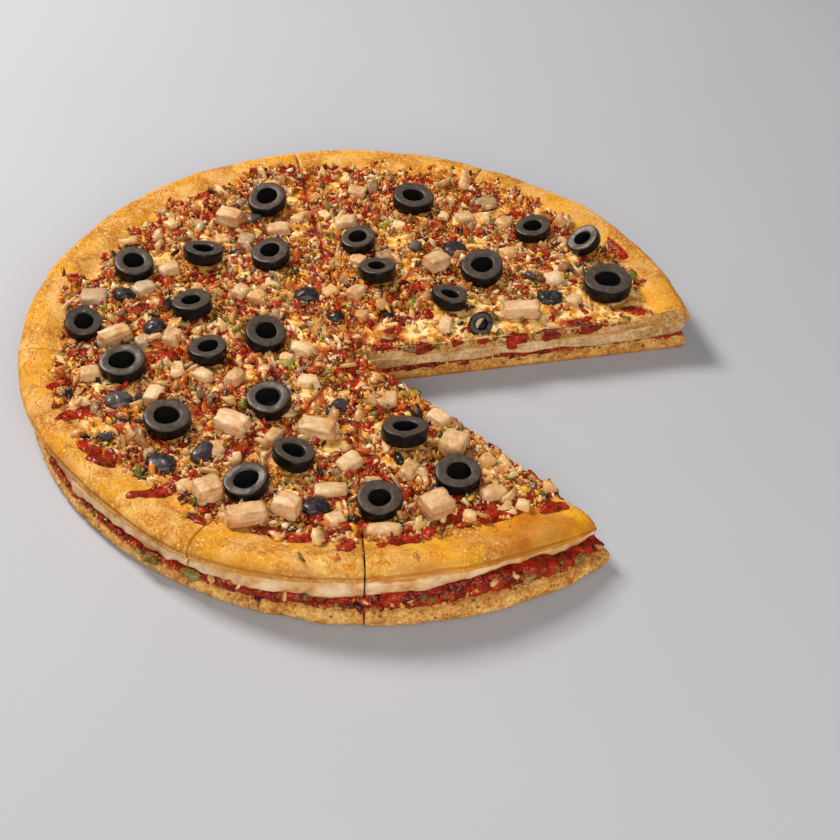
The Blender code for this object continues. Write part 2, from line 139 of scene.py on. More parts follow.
# Rim of the upper crust: it climbs from its foot to its crest, both as shares of its width
RIM_RISE = 2.4 * MM
RIM_WIDTH = 15.8 * MM
RIM_WIDTH_SHIFT = 4.0 * MM
RIM_FOOT = 1.15
RIM_CREST = 0.5

# How far in from the edge the toppings start, and how much less at the back than at the front
TOPPED_BORDER = 17.0 * MM
TOPPED_BORDER_SHIFT = 2.4 * MM
WIDER_BEARING = 208
WIDER_HALF_WIDTH = 34
WIDER_BY = 5.5 * MM

# Toppings: x, y, then sizes in mm, then turns in degrees
CHICKEN_CHUNKS = (
    (-111, -15, 15, 8, 7, 40), (72, 25, 18, 8, 7, 8), (-51, -66, 15, 9, 7, -24), (-15, -66, 16, 9, 6, -12),
    (-55, -108, 11, 10, 8, 30), (-38, -121, 16, 9, 7, 20), (-22, -115, 11, 9, 8, -20),
    (37, -108, 13, 11, 8, 35), (43, -71, 12, 11, 8, 70), (31, 58, 12, 9, 7, 40), (-73, 83, 13, 9, 7, -15),
)
FUSED_CHICKEN = (
    (-96, 41, 11, 7, 6, 40), (-48, 79, 12, 8, 6, 10), (-86, -10, 10, 8, 6, 75), (-117, -39, 9, 8, 6, 20),
    (-60, 27, 9, 8, 6, 55), (-68, -35, 9, 7, 6, -30), (-54, -35, 10, 7, 6, 65), (-87, -50, 10, 8, 6, 80),
    (-16, 89, 11, 8, 6, 20), (-12, 117, 10, 7, 5, -15), (44, 99, 10, 7, 6, 25), (64, 97, 8, 8, 6, 45),
    (-27, -13, 11, 7, 6, -20), (37, 12, 11, 6, 6, 85), (-22, -34, 10, 7, 5, 15), (88, 53, 9, 8, 6, 30),
    (97, 37, 8, 7, 5, 60), (-57, -80, 9, 7, 5, 30), (0, -84, 11, 8, 6, 50), (-6, -101, 14, 7, 6, 10),
    (-3, -118, 8, 8, 6, 30), (36, -52, 10, 7, 5, -40), (12, -43, 12, 9, 5, 10), (17, -123, 14, 7, 6, 5),
    (25, -86, 9, 7, 6, 60), (60, -96, 11, 7, 6, 20), (-6, 33, 9, 7, 6, 60), (-33, -70, 9, 6, 5, 65),
)
FUSED_MUSHROOM = (
    (-126, 14, 13, 11, 6, 10), (-105, 24, 11, 8, 6, 50), (54, 113, 12, 8, 6, 15), (6, 62, 9, 8, 6, 30),
    (-63, 68, 9, 8, 5, 80), (-98, -14, 8, 6, 5, 35),
)
FUSED_OLIVE_ENDS = (
    (86, 38, 12, 9, 6, 20), (-95, -4, 11, 9, 6, 60), (-102, -55, 12, 10, 6, 10), (-77, -91, 13, 10, 5, 0),
    (-61, -83, 12, 8, 7, 70), (-11, -111, 12, 9, 6, 20), (-8, -51, 12, 7, 6, 60), (39, 73, 12, 9, 5, 15),
    (20, 73, 8, 6, 5, 70), (-113, 18, 10, 8, 6, 30), (-29, 28, 12, 9, 6, 15), (-97, -69, 7, 6, 4, 0),
)
SUNK_SHARE = 0.3
FUSED_SQUARENESS = 0.6
CHUNK_SQUARENESS = 0.72

# Small morsels between them, by the same seeded rule as the solids
MORSEL_COUNT = 32
MORSEL_SIZE = (5.0 * MM, 8.0 * MM)
MORSEL_FLATNESS = 0.7
MORSEL_LIFT = 0.15
MORSEL_REACH = 128 * MM
MORSEL_ROOM = 0.45
MORSEL_SEED = 11

# Sauce that shows on top: x, y, length, width in mm and the bearing that it runs to
SAUCE_STREAKS = (
    (-116, -63, 22, 9, 50), (-106, -86, 14, 9, -30), (-100, -92, 14, 9, 20), (-74, -107, 22, 8, 30),
    (-64, -57, 14, 6, 25), (-85, -21, 16, 8, 40), (-111, -1, 12, 6, 60), (-104, 10, 14, 8, 50),
    (-65, -4, 12, 6, 10), (-53, -17, 9, 7, 60), (-37, -31, 11, 7, 20), (-38, -70, 13, 8, 30),
    (-46, -80, 18, 7, 35), (-27, -127, 17, 9, -10), (-13, -130, 15, 10, 20), (-10, -117, 9, 6, 80),
    (3, -133, 12, 9, 90), (10, -86, 20, 7, 100), (-9, -84, 10, 8, 20), (-1, -41, 14, 5, 80),
    (-127, -45, 9, 5, 70), (-57, -122, 10, 5, -50), (-63, -99, 12, 6, 30), (13, 6, 12, 8, 50),
    (11, -4, 16, 9, 60), (49, -108, 22, 9, 30), (64, -104, 24, 10, 30), (85, -100, 11, 7, 25),
    (22, -129, 20, 9, 25), (34, -121, 18, 7, 35), (70, 6, 12, 11, 20), (86, 13, 14, 8, 20),
    (106, 19, 15, 6, 20), (28, -4, 8, 8, 0), (55, -89, 10, 7, 80), (-107, 68, 12, 7, 70),
    (-96, 70, 9, 7, 20), (-85, 86, 14, 8, 30), (-90, 103, 12, 6, 40), (-63, 108, 12, 6, 20),
    (-50, 131, 14, 6, 60), (-28, 127, 10, 6, 20), (-13, 131, 9, 6, 10), (20, 133, 14, 6, -10),
    (47, 130, 10, 6, -40), (57, 117, 9, 7, 30), (70, 107, 10, 6, 10), (93, 92, 9, 6, -40),
    (119, 79, 14, 6, -60), (128, 33, 11, 6, -20), (97, 22, 16, 6, 15), (-25, 45, 15, 5, 110),
    (-22, 28, 12, 6, 100), (-32, 80, 10, 6, 70), (-77, 36, 12, 7, 30), (-98, 32, 13, 7, 20),
    (-50, 8, 12, 6, 60), (-132, 17, 9, 6, 80), (-128, 28, 9, 5, 50), (-43, 20, 11, 6, 30),
    (-115, 60, 10, 6, 60), (-30, 105, 10, 6, 90), (43, 70, 10, 6, 20), (22, 40, 12, 6, 40),
)
STREAK_HEIGHT = 2.6 * MM
SAUCE_SPOT_COUNT = 430

# Bits that stick out of the sauce at the side: bearing in degrees, share of the sauce's height, size in mm
GREEN_SIDE_BITS = ((240.6, 0.55, 9), (247.6, 0.55, 8), (283.5, 0.75, 6), (299.5, 0.6, 7), (309, 0.6, 6))
SIDE_BIT_COUNT = 900

# Relief of the surfaces: height and length of each scale of unevenness
RIM_RELIEF = ((0.45 * MM, 13 * MM), (0.26 * MM, 5 * MM), (0.15 * MM, 1.9 * MM))
TOPPED_RELIEF = ((0.9 * MM, 8 * MM), (0.55 * MM, 3.2 * MM))
MELTED_STRIP = 30 * MM
MELTED_HEIGHT = 0.8 * MM
PALE_RELIEF = ((0.45 * MM, 9 * MM), (0.42 * MM, 3.2 * MM), (0.24 * MM, 1.4 * MM))
CHEESE_RELIEF = ((0.9 * MM, 11 * MM), (0.5 * MM, 4 * MM), (0.18 * MM, 1.7 * MM))
SAUCE_RELIEF = ((0.9 * MM, 5.5 * MM), (0.7 * MM, 2.6 * MM), (0.4 * MM, 1.6 * MM))
CLOSED_CUT_SHARE = 0.3
CHEESE_BULGE = 1.3 * MM
CHEESE_DRIP = 3.2 * MM
CUT_SAG = 1.6 * MM
LAYER_OVERLAP = 0.3 * MM

# Grids of the layers: spacing round the rim and along the radius, and how far in the fine part reaches
RIM_SPACING = 1.15 * MM
FINE_REACH = 26 * MM
LID_STEP = 1.6 * MM
OPEN_STEP = 2.8 * MM
SHUT_STEP = 9 * MM
OUTER_STEPS = 14
LID_OUTER_STEPS = 26
EDGE_STEPS = 12
OPEN_WALL_STEPS = 12
SHUT_WALL_STEPS = 3
REACH_ROUNDS = 8
FAR_IN = 99

# Grids of the lumps and patches: rows from pole to pole and points around
CHUNK_GRID = (30, 48)
TOPPING_GRID = (16, 24)
STREAK_GRID = (12, 36)
SPOT_GRID = (8, 20)
DRIP_GRID = (18, 28)
NUB_GRID = (20, 28)
SIDE_BIT_GRID = (8, 10)
GRAIN_GRID = (3, 5)
COARSE_POINTS = 60

# Grid of a ring: points around, and steps between two points of its outline
RING_AROUND = 48
RING_STEPS = 5

# Two rings that differ from the rest: one is wrinkled, the other lies with its skin up, with a pale crescent
# of painted highlight in one half of its hole
WRINKLED_RING = "olive_ring_23"
SKINNED_RING = "olive_ring_25"

# Factors that mix the three counts of a lattice's corner and a seed into one random number
HASH_FACTORS = (73856093, 19349663, 83492791, 26544357)

# Each layer: its edge, the surfaces under and over it, and the outline of its edge as a distance in
# from the edge in mm and a level from 1, on the upper surface, to 0, on the lower one
OUTLINES = {
    "lower_crust": ((3.5, 1.0), (1.0, 0.88), (0.0, 0.5), (0.9, 0.12), (3.0, 0.0)),
    "sauce": ((2.0, 1.0), (0.2, 0.75), (0.0, 0.3), (1.4, 0.0)),
    "cheese": ((2.0, 1.0), (0.3, 0.8), (0.0, 0.35), (1.6, 0.0)),
    "upper_crust": (
        (4.2, 0.93), (1.5, 0.70), (0.3, 0.48), (0.95, 0.34), (0.1, 0.26), (0.0, 0.14), (0.9, 0.04),
        (3.5, 0.0),
    ),
}

# Darkest brown of baked dough
BAKED_BROWN = (0.34, 0.11, 0.015)

# Camera: as the photograph was taken
PICTURE_SIDE = 840
FOCAL_PIXELS = 1485.26
CAMERA_HEIGHT_ANGLE = 42.078
CAMERA_DISTANCE = 668.6 * MM
CAMERA_TARGET = (28.05 * MM, -30.86 * MM, 0)
CAMERA_ROLL = 3.828
SENSOR = 36.0


def bump(bearing, middle, half_width):
    """A smooth hump: the squared cosine of the distance to the middle, nothing past half_width degrees."""
    away = np.abs((np.degrees(bearing) - middle + 180) % 360 - 180)
    return np.cos(np.clip(away / half_width, 0, 1) * math.pi / 2) ** 2


def waves(x, y, seed, height, length):
    """Soft unevenness up to a height: the mean of a few sine waves of about the given length."""
    draw = random.Random(seed)
    total = np.zeros_like(x)
    for _ in range(WAVE_COUNT):
        heading = draw.uniform(0, math.tau)
        pitch = length * draw.uniform(0.75, 1.35)
        phase = draw.uniform(0, math.tau)
        total += np.sin(math.tau * (x * math.cos(heading) + y * math.sin(heading)) / pitch + phase)
    return height * total / WAVE_COUNT


def edge_of(centre, radius, bearing):
    """A circle's edge from the origin: its radius plus its centre's reach along the bearing."""
    return radius + centre[0] * np.cos(bearing) + centre[1] * np.sin(bearing)


def lower_edge(bearing):
    """Edge of the bottom crust: its circle."""
    return edge_of(LOWER_CENTRE, LOWER_RADIUS, bearing)


def upper_edge(bearing):
    """Edge of the upper crust: its circle, drawn back by two smooth humps."""
    back = LID_SETBACK * bump(bearing, SETBACK_BEARING, SETBACK_HALF_WIDTH)
    back += LEFT_LID_SETBACK * bump(bearing, LEFT_SETBACK_BEARING, LEFT_SETBACK_HALF_WIDTH)
    return edge_of(UPPER_CENTRE, UPPER_RADIUS, bearing) - back


def sauce_edge(bearing):
    """Edge of the sauce: the bottom crust's less an inset and a hump, with a sine wave."""
    back = SAUCE_INSET + SAUCE_SETBACK * bump(bearing, SETBACK_BEARING, SETBACK_HALF_WIDTH)
    return lower_edge(bearing) - back + EDGE_WOBBLE * np.sin(SAUCE_WOBBLES * bearing)


def cheese_edge(bearing):
    """Edge of the cheese: midway between the crusts' less an inset and a hump, with a sine wave."""
    back = CHEESE_INSET + CHEESE_SETBACK * bump(bearing, SETBACK_BEARING, SETBACK_HALF_WIDTH)
    between = 0.5 * (lower_edge(bearing) + upper_edge(bearing))
    return between - back + EDGE_WOBBLE * np.sin(CHEESE_WOBBLES * bearing + 1)


def layer_heights(x, y):
    """Heights of the four surfaces: each is the one under it, a thickness, a swell at the rim and waves."""
    bearing = np.arctan2(y, x)
    inward = np.maximum(TURNED_RADIUS - np.hypot(x, y), 0)
    swell = np.exp(-((inward / SWELL_REACH) ** 2))
    puff = bump(bearing, PUFF_BEARING, PUFF_HALF_WIDTH)
    sag = bump(bearing, SAG_BEARING, SAG_HALF_WIDTH)
    slow, quick = SIDE_WAVE_COUNTS
    side_wave = SIDE_WAVE * (np.sin(slow * bearing + 0.4) + 0.6 * np.sin(quick * bearing + 2.0))
    crust = CRUST_THICK + swell * (CRUST_SWELL + PUFF_CRUST * puff) + waves(x, y, *CRUST_WAVES)
    pool = POOL_DEPTH * bump(bearing, POOL_BEARING, POOL_HALF_WIDTH)
    sauce_swell = SAUCE_SWELL + PUFF_SAUCE * puff - SAG_SAUCE * sag + side_wave + pool
    sauce = crust + SAUCE_THICK + swell * sauce_swell + waves(x, y, *SAUCE_WAVES)
    cheese_swell = CHEESE_SWELL + PUFF_CHEESE * puff - SAG_CHEESE * sag - 0.6 * side_wave - 0.8 * pool
    cheese = sauce + CHEESE_THICK + swell * cheese_swell + waves(x, y, *CHEESE_WAVES)
    width = RIM_WIDTH - RIM_WIDTH_SHIFT * np.sin(bearing)
    climb = np.clip((RIM_FOOT - inward / width) / (RIM_FOOT - RIM_CREST), 0, 1)
    rise = RIM_RISE * climb * climb * (3 - 2 * climb)
    lid = cheese + LID_THICK + rise - SAG_LID * sag * swell + waves(x, y, *LID_WAVES)
    return crust, sauce, cheese, lid


LAYERS = {
    "lower_crust": (lower_edge, None, 0),
    "sauce": (sauce_edge, 0, 1),
    "cheese": (cheese_edge, 1, 2),
    "upper_crust": (upper_edge, 2, 3),
}


def smoothstep(value):
    """0 below 0, 1 above 1, and 3t² - 2t³ between."""
    t = np.clip(value, 0, 1)
    return t * t * (3 - 2 * t)


def noise(points, length, seed=0):
    """Smooth noise from -1 to 1: random values at the corners of a lattice, blended by 3t² - 2t³."""
    scaled = np.asarray(points, float) / length
    cell = np.floor(scaled).astype(np.int64)
    ease = smoothstep(scaled - cell)
    total = np.zeros(len(scaled))
    first, second, third, own = HASH_FACTORS
    for corner in itertools.product((0, 1), repeat=3):
        at = cell + corner
        mixed = at[:, 0] * first ^ at[:, 1] * second ^ at[:, 2] * third ^ (seed + 1) * own
        mixed &= 0xFFFFFFFF
        mixed = ((mixed ^ (mixed >> 15)) * 1274126177) & 0xFFFFFFFF
        value = ((mixed ^ (mixed >> 16)) & 0xFFFF) / 32767.5 - 1
        total += value * np.prod(np.where(corner, ease, 1 - ease), axis=1)
    return total


def relief(points, scales, seed=0):
    """Unevenness as the sum of noises, one for each pair of height and length."""
    return sum(height * noise(points, length, seed + i) for i, (height, length) in enumerate(scales))


def on_floor(x, y):
    """Places as points at height 0."""
    return np.stack([x, y, np.zeros_like(x)], axis=1)


def topped_share(x, y):
    """1 where toppings cover the upper crust and 0 on its bare rim, with a ragged border between."""
    bearing = np.arctan2(y, x)
    inward = upper_edge(bearing) - np.hypot(x, y)
    border = TOPPED_BORDER - TOPPED_BORDER_SHIFT * np.sin(bearing)
    border -= WIDER_BY * bump(bearing, WIDER_BEARING, WIDER_HALF_WIDTH)
    ragged = relief(on_floor(x, y), ((4.5 * MM, 14 * MM), (3.0 * MM, 5 * MM)), seed=40)
    return smoothstep((inward - border + ragged) / (4 * MM))


def melted_share(x, y):
    """1 where melted cheese lies bare between the toppings: patches of noise, more along the right cut."""
    spots = on_floor(x, y)
    patchy = noise(spots, 10 * MM, 45) + 0.6 * noise(spots, 4.5 * MM, 46)
    start, along, out = wall_frame("right")
    inward = (start[0] - x) * out[0] + (start[1] - y) * out[1]
    beyond = (x - start[0]) * along[0] + (y - start[1]) * along[1]
    strip = (1 - smoothstep(inward / MELTED_STRIP)) * smoothstep(beyond / (20 * MM)) * (inward > -1 * MM)
    return smoothstep((patchy + 1.9 * strip - 0.22) / 0.4)


def lid_relief(points, topped):
    """Relief of the upper crust: fine on the bare rim, coarse under the toppings."""
    melted = MELTED_HEIGHT * melted_share(points[:, 0], points[:, 1])
    bed = relief(points, TOPPED_RELIEF, 60) + melted
    return relief(points, RIM_RELIEF, 50) * (1 - topped) + bed * topped


def lid_top(x, y):
    """Height of the finished upper crust at many places: the lid's height and its relief."""
    height = layer_heights(x, y)[3]
    return height + lid_relief(np.stack([x, y, height], axis=1), topped_share(x, y))


def smooth_line(points, steps):
    """A smooth curve through points: cubic stretches whose slopes follow the neighbours on both sides."""
    p = np.array(points, float)
    p = np.vstack([2 * p[0] - p[1], p, 2 * p[-1] - p[-2]])
    t = np.linspace(0, len(p) - 3, steps)
    i = np.minimum(t.astype(int), len(p) - 4)
    u = (t - i)[:, None]
    a, b, c, d = p[i], p[i + 1], p[i + 2], p[i + 3]
    return b + 0.5 * u * (c - a + u * (2 * a - 5 * b + 4 * c - d + u * (3 * (b - c) + d - a)))


def grid_faces(rows, columns, closed=False):
    """Four-sided faces of a grid of points stored row by row. closed joins its last row to its first."""
    count = rows if closed else rows - 1
    i, j = np.meshgrid(np.arange(count), np.arange(columns - 1), indexing="ij")
    here, there = i * columns + j, (i + 1) % rows * columns + j
    return np.stack([here, here + 1, there + 1, there], axis=-1).reshape(-1, 4)


def face_normals(points, faces):
    """Twice-area normals of four-sided faces: the cross product of their diagonals."""
    return np.cross(points[faces[:, 2]] - points[faces[:, 0]], points[faces[:, 3]] - points[faces[:, 1]])


def point_normals(points, faces):
    """Unit normals at points: the sum of the normals of the faces round each."""
    across = face_normals(points, faces)
    total = np.stack([
        sum(np.bincount(faces[:, k], across[:, axis], len(points)) for k in range(4)) for axis in range(3)
    ], axis=1)
    return total / np.maximum(np.linalg.norm(total, axis=1, keepdims=True), 1e-20)


def weld(points, faces, marks):
    """Merges points at the very same place, and drops faces that shrink to a line."""
    _, first, same = np.unique(points, axis=0, return_index=True, return_inverse=True)
    faces = same.reshape(-1)[faces]
    across = (faces[:, 0] == faces[:, 2]) | (faces[:, 1] == faces[:, 3])
    flat = (faces[:, 0] == faces[:, 1]) & (faces[:, 2] == faces[:, 3])
    flat |= (faces[:, 1] == faces[:, 2]) & (faces[:, 3] == faces[:, 0])
    faces = faces[~(across | flat)]
    return points[first], faces, {name: values[first] for name, values in marks.items()}


def make_piece(name, points, faces, finish, marks=None, smooth=True):
    """Puts points and faces of three or four corners into a mesh piece that rides with the pizza.

    In a four-sided face one corner may repeat, which makes it a triangle.
    """
    points = np.asarray(points) + BOX_SHIFT
    rows = np.asarray(faces)
    kept = np.ones(rows.shape, bool)
    if rows.shape[1] == 4:
        kept = rows != np.roll(rows, 1, axis=1)
    sizes = kept.sum(axis=1)
    mesh = bpy.data.meshes.new(name)
    mesh.vertices.add(len(points))
    mesh.vertices.foreach_set("co", np.ascontiguousarray(points, np.float32).ravel())
    mesh.loops.add(int(sizes.sum()))
    mesh.loops.foreach_set("vertex_index", rows[kept].astype(np.int32))
    mesh.polygons.add(len(rows))
    mesh.polygons.foreach_set("loop_start", np.concatenate([[0], np.cumsum(sizes)[:-1]]).astype(np.int32))
    mesh.update(calc_edges=True)
    for mark, values in (marks or {}).items():
        layer = mesh.attributes.new(mark, "FLOAT", "POINT")
        layer.data.foreach_set("value", np.ascontiguousarray(values, np.float32))
    if smooth:
        mesh.shade_smooth()
    mesh.materials.append(finish)
    piece = bpy.data.objects.new(name, mesh)
    bpy.context.scene.collection.objects.link(piece)
    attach(piece, "root")
    return piece


def slice_apex(bearings):
    """The inner tip of a slice: the crossing moved along the slice's middle until both cuts clear a kerf."""
    start, end = np.radians(bearings)
    middle = (start + end) / 2
    tip = KERF / 2 / math.sin((end - start) / 2)
    return CROSSING[0] + tip * math.cos(middle), CROSSING[1] + tip * math.sin(middle)


def reach_along(apex, heading, edge):
    """How far a level ray runs from the apex to an edge: stepped by what is still missing to it."""
    reach = np.full_like(heading, LOWER_RADIUS)
    for _ in range(REACH_ROUNDS):
        x = apex[0] + reach * np.cos(heading)
        y = apex[1] + reach * np.sin(heading)
        reach = reach + edge(np.arctan2(y, x)) - np.hypot(x, y)
    return reach


def stations(layer, inner_steps, outer_steps):
    """Where the points of a radial section lie: share of the inner part, distance in and level.

    They run from the apex over the top to the edge, round its outline and back under the layer.
    """
    outline = smooth_line(OUTLINES[layer], 2 * EDGE_STEPS)
    fine = FINE_REACH / MM
    share = np.linspace(0, 1, inner_steps, endpoint=False)
    halves = []
    for first, level in ((outline[0, 0], 1.0), (outline[-1, 0], 0.0)):
        inward = np.linspace(fine, first, outer_steps, endpoint=False)
        near = np.linspace(0, 1, outer_steps, endpoint=False)
        end_level = outline[0, 1] if level else outline[-1, 1]
        levels = np.concatenate([np.full(inner_steps, level), level + (end_level - level) * near ** 3])
        halves.append((
            np.concatenate([share, np.ones(outer_steps)]),
            np.concatenate([np.full(inner_steps, fine), inward]),
            levels,
        ))
    top, bottom = halves
    ones = np.ones(EDGE_STEPS)
    return (
        np.concatenate([top[0], ones, ones, bottom[0][::-1]]),
        np.concatenate([top[1], outline[:, 0], bottom[1][::-1]]) * MM,
        np.concatenate([top[2], outline[:, 1], bottom[2][::-1]]),
    )


def slice_surface(layer, bearings, is_open):
    """One slice of a layer as a closed surface of bearing and station.

    A point lies on a ray from the slice's apex, a share of the way to the edge, at a level between
    the surfaces under and over the layer. Both cut faces are grids between the section's upper and
    lower halves. Marks say how near a point is to the lip, and whether it lies on a cut.
    """
    edge, under, over = LAYERS[layer]
    apex = slice_apex(bearings)
    span = math.radians(bearings[1] - bearings[0])
    rows = int(span * TURNED_RADIUS / RIM_SPACING) + 1
    heading = np.linspace(*np.radians(bearings), rows)
    reach = reach_along(apex, heading, edge)
    if layer == "upper_crust":
        inner, outer = int(TURNED_RADIUS / LID_STEP), LID_OUTER_STEPS
    else:
        inner, outer = int(TURNED_RADIUS / (OPEN_STEP if is_open else SHUT_STEP)), OUTER_STEPS
    share, inward, level = stations(layer, inner, outer)
    if layer == "cheese":
        arc = np.stack([np.cos(heading), np.sin(heading), np.zeros(rows)], axis=1) * TURNED_RADIUS
        drip = CHEESE_DRIP * smoothstep(0.35 + 0.9 * noise(arc, 13 * MM, 71) + 0.5 * noise(arc, 5 * MM, 72))
        reach = reach + CHEESE_BULGE * relief(arc, ((0.6, 17 * MM), (0.4, 7 * MM)), 70)
    along = (reach[:, None] - FINE_REACH) * share + (FINE_REACH - inward)
    x = apex[0] + along * np.cos(heading)[:, None]
    y = apex[1] + along * np.sin(heading)[:, None]
    surfaces = layer_heights(x.ravel(), y.ravel())
    high = surfaces[over].reshape(x.shape)
    low = np.zeros_like(x) if under is None else surfaces[under].reshape(x.shape) - LAYER_OVERLAP
    z = low + level * (high - low)
    if layer == "cheese":
        hang = np.exp(-((inward / (2.2 * MM)) ** 2)) * (1 - level) * (share == 1)
        z -= drip[:, None] * hang
    skin = np.stack([x, y, z], axis=-1)
    skin[:, 0] = skin[0, 0]
    skin[:, -1] = skin[0, -1]
    columns = skin.shape[1]
    half = columns // 2
    faces = [grid_faces(rows, columns)]
    points = [skin.reshape(-1, 3)]
    marks = {
        "cut": [np.zeros(rows * columns)],
        "level": [np.tile(level, rows)],
        "inward": [np.tile(np.where(share == 1, inward / MM, FAR_IN), rows)],
    }
    steps = OPEN_WALL_STEPS if is_open else SHUT_WALL_STEPS
    fall = np.linspace(0, 1, steps + 1)[None, :, None]
    first = rows * columns
    for row, is_end in ((0, False), (-1, True)):
        upper, lower = skin[row, :half], skin[row, ::-1][:half]
        wall = upper[:, None] * (1 - fall) + lower[:, None] * fall
        wall[:, 0] = upper
        wall[:, -1] = lower
        sheet = grid_faces(half, steps + 1)
        points.append(wall.reshape(-1, 3))
        faces.append((sheet[:, ::-1] if is_end else sheet) + first)
        levels = level[:half, None] * (1 - fall[..., 0]) + level[::-1][:half, None] * fall[..., 0]
        marks["cut"].append(np.full(wall.shape[0] * wall.shape[1], 1.0))
        marks["level"].append(levels.ravel())
        marks["inward"].append(np.repeat(np.where(share[:half] == 1, inward[:half] / MM, FAR_IN), steps + 1))
        first += wall.shape[0] * wall.shape[1]
    marks = {name: np.concatenate(values) for name, values in marks.items()}
    return weld(np.concatenate(points), np.concatenate(faces), marks)


def open_cut(points):
    """1 near the two cuts that face the gap of the missing slice, else 0."""
    near = np.zeros(len(points))
    for bearing in (SLICES["right"][0], SLICES["front_right"][1]):
        b = math.radians(bearing)
        east, north = points[:, 0] - CROSSING[0], points[:, 1] - CROSSING[1]
        beside = np.abs(north * math.cos(b) - east * math.sin(b))
        ahead = east * math.cos(b) + north * math.sin(b)
        near = np.maximum(near, smoothstep(2 - beside / MM) * (ahead > 0))
    return near


def ball(rows, sides):
    """A unit ball as a grid of latitude and longitude, with one corner repeated in the faces at its poles."""
    down = math.pi * np.arange(1, rows) / rows
    round_ = math.tau * np.arange(sides) / sides
    flat = np.sin(down)[:, None]
    points = np.stack([
        flat * np.cos(round_), flat * np.sin(round_), np.repeat(np.cos(down)[:, None], sides, axis=1)
    ], axis=-1).reshape(-1, 3)
    top, bottom = len(points), len(points) + 1
    i, j = np.meshgrid(np.arange(rows - 2), np.arange(sides), indexing="ij")
    k = (j + 1) % sides
    body = np.stack([i * sides + j, (i + 1) * sides + j, (i + 1) * sides + k, i * sides + k], axis=-1)
    j = np.arange(sides)
    k = (j + 1) % sides
    last = (rows - 2) * sides
    cap = np.stack([np.full(sides, top), j, k, np.full(sides, top)], axis=-1)
    foot = np.stack([last + j, np.full(sides, bottom), np.full(sides, bottom), last + k], axis=-1)
    points = np.vstack([points, [[0, 0, 1], [0, 0, -1]]])
    return points, np.vstack([body.reshape(-1, 4), cap, foot])


def copies(faces, size, count):
    """The faces of one lump once for each of its copies, whose points follow one another."""
    return (faces[None] + size * np.arange(count)[:, None, None]).reshape(-1, 4)


def lumps(centres, sizes, frames, rows, sides, square, uneven, seed):
    """Many uneven lumps as one set of points and faces.

    Each is a unit ball drawn part of the way to a block, made uneven, stretched to its size, turned
    by its frame and moved to its centre. Coarse lumps are uneven point by point, fine ones by noise.
    """
    shape, faces = ball(rows, sides)
    block = shape / np.abs(shape).max(axis=1, keepdims=True)
    shape = shape + square * (block - shape)
    count = len(centres)
    draw = np.random.default_rng(seed)
    if len(shape) < COARSE_POINTS:
        grown = 1 + uneven * draw.uniform(-1, 1, (count, len(shape)))
    else:
        spots = shape[None] + draw.uniform(0, 500, (count, 1, 3))
        spots = spots.reshape(-1, 3)
        grown = 1 + uneven * (noise(spots, 0.9) + 0.5 * noise(spots, 0.45) + 0.22 * noise(spots, 0.2))
        grown = grown.reshape(count, len(shape))
    local = shape[None] * grown[..., None] * sizes[:, None, :] / 2
    points = np.einsum("cij,cnj->cni", frames, local) + centres[:, None, :]
    return points.reshape(-1, 3), copies(faces, len(shape), count), len(shape)


def random_frames(count, seed):
    """Random turns in space, from random quaternions."""
    q = np.random.default_rng(seed).normal(size=(count, 4))
    w, x, y, z = (q / np.linalg.norm(q, axis=1, keepdims=True)).T
    return np.stack([
        1 - 2 * (y * y + z * z), 2 * (x * y - z * w), 2 * (x * z + y * w),
        2 * (x * y + z * w), 1 - 2 * (x * x + z * z), 2 * (y * z - x * w),
        2 * (x * z - y * w), 2 * (y * z + x * w), 1 - 2 * (x * x + y * y),
    ], axis=1).reshape(-1, 3, 3)


def lying_frames(x, y, turns):
    """Turns that lay pieces on the lid: one axis along its slope at the turn's bearing, one upright to it."""
    step = 4 * MM
    slope_x = (layer_heights(x + step, y)[3] - layer_heights(x - step, y)[3]) / (2 * step)
    slope_y = (layer_heights(x, y + step)[3] - layer_heights(x, y - step)[3]) / (2 * step)
    up = np.stack([-slope_x, -slope_y, np.ones_like(x)], axis=1)
    up /= np.linalg.norm(up, axis=1, keepdims=True)
    turn = np.radians(turns)
    ahead = np.stack([np.cos(turn), np.sin(turn), np.zeros_like(turn)], axis=1)
    ahead -= up * (ahead * up).sum(axis=1, keepdims=True)
    ahead /= np.linalg.norm(ahead, axis=1, keepdims=True)
    return np.stack([ahead, np.cross(up, ahead), up], axis=2)


def slice_of(x, y):
    """Distance of places to the nearest cut in metres, and whether they lie in the gap."""
    bearing = np.degrees(np.arctan2(y - CROSSING[1], x - CROSSING[0])) % 360
    far = np.hypot(x - CROSSING[0], y - CROSSING[1])
    cuts = np.array([start for start, _ in SLICES.values()] + [SLICES["front_right"][1]])
    away = np.radians(np.abs((bearing[:, None] - cuts + 180) % 360 - 180)).min(axis=1)
    beside = far * np.sin(np.minimum(away, math.pi / 2))
    in_gap = (bearing > SLICES["front_right"][1]) | (bearing < SLICES["right"][0])
    return beside, in_gap


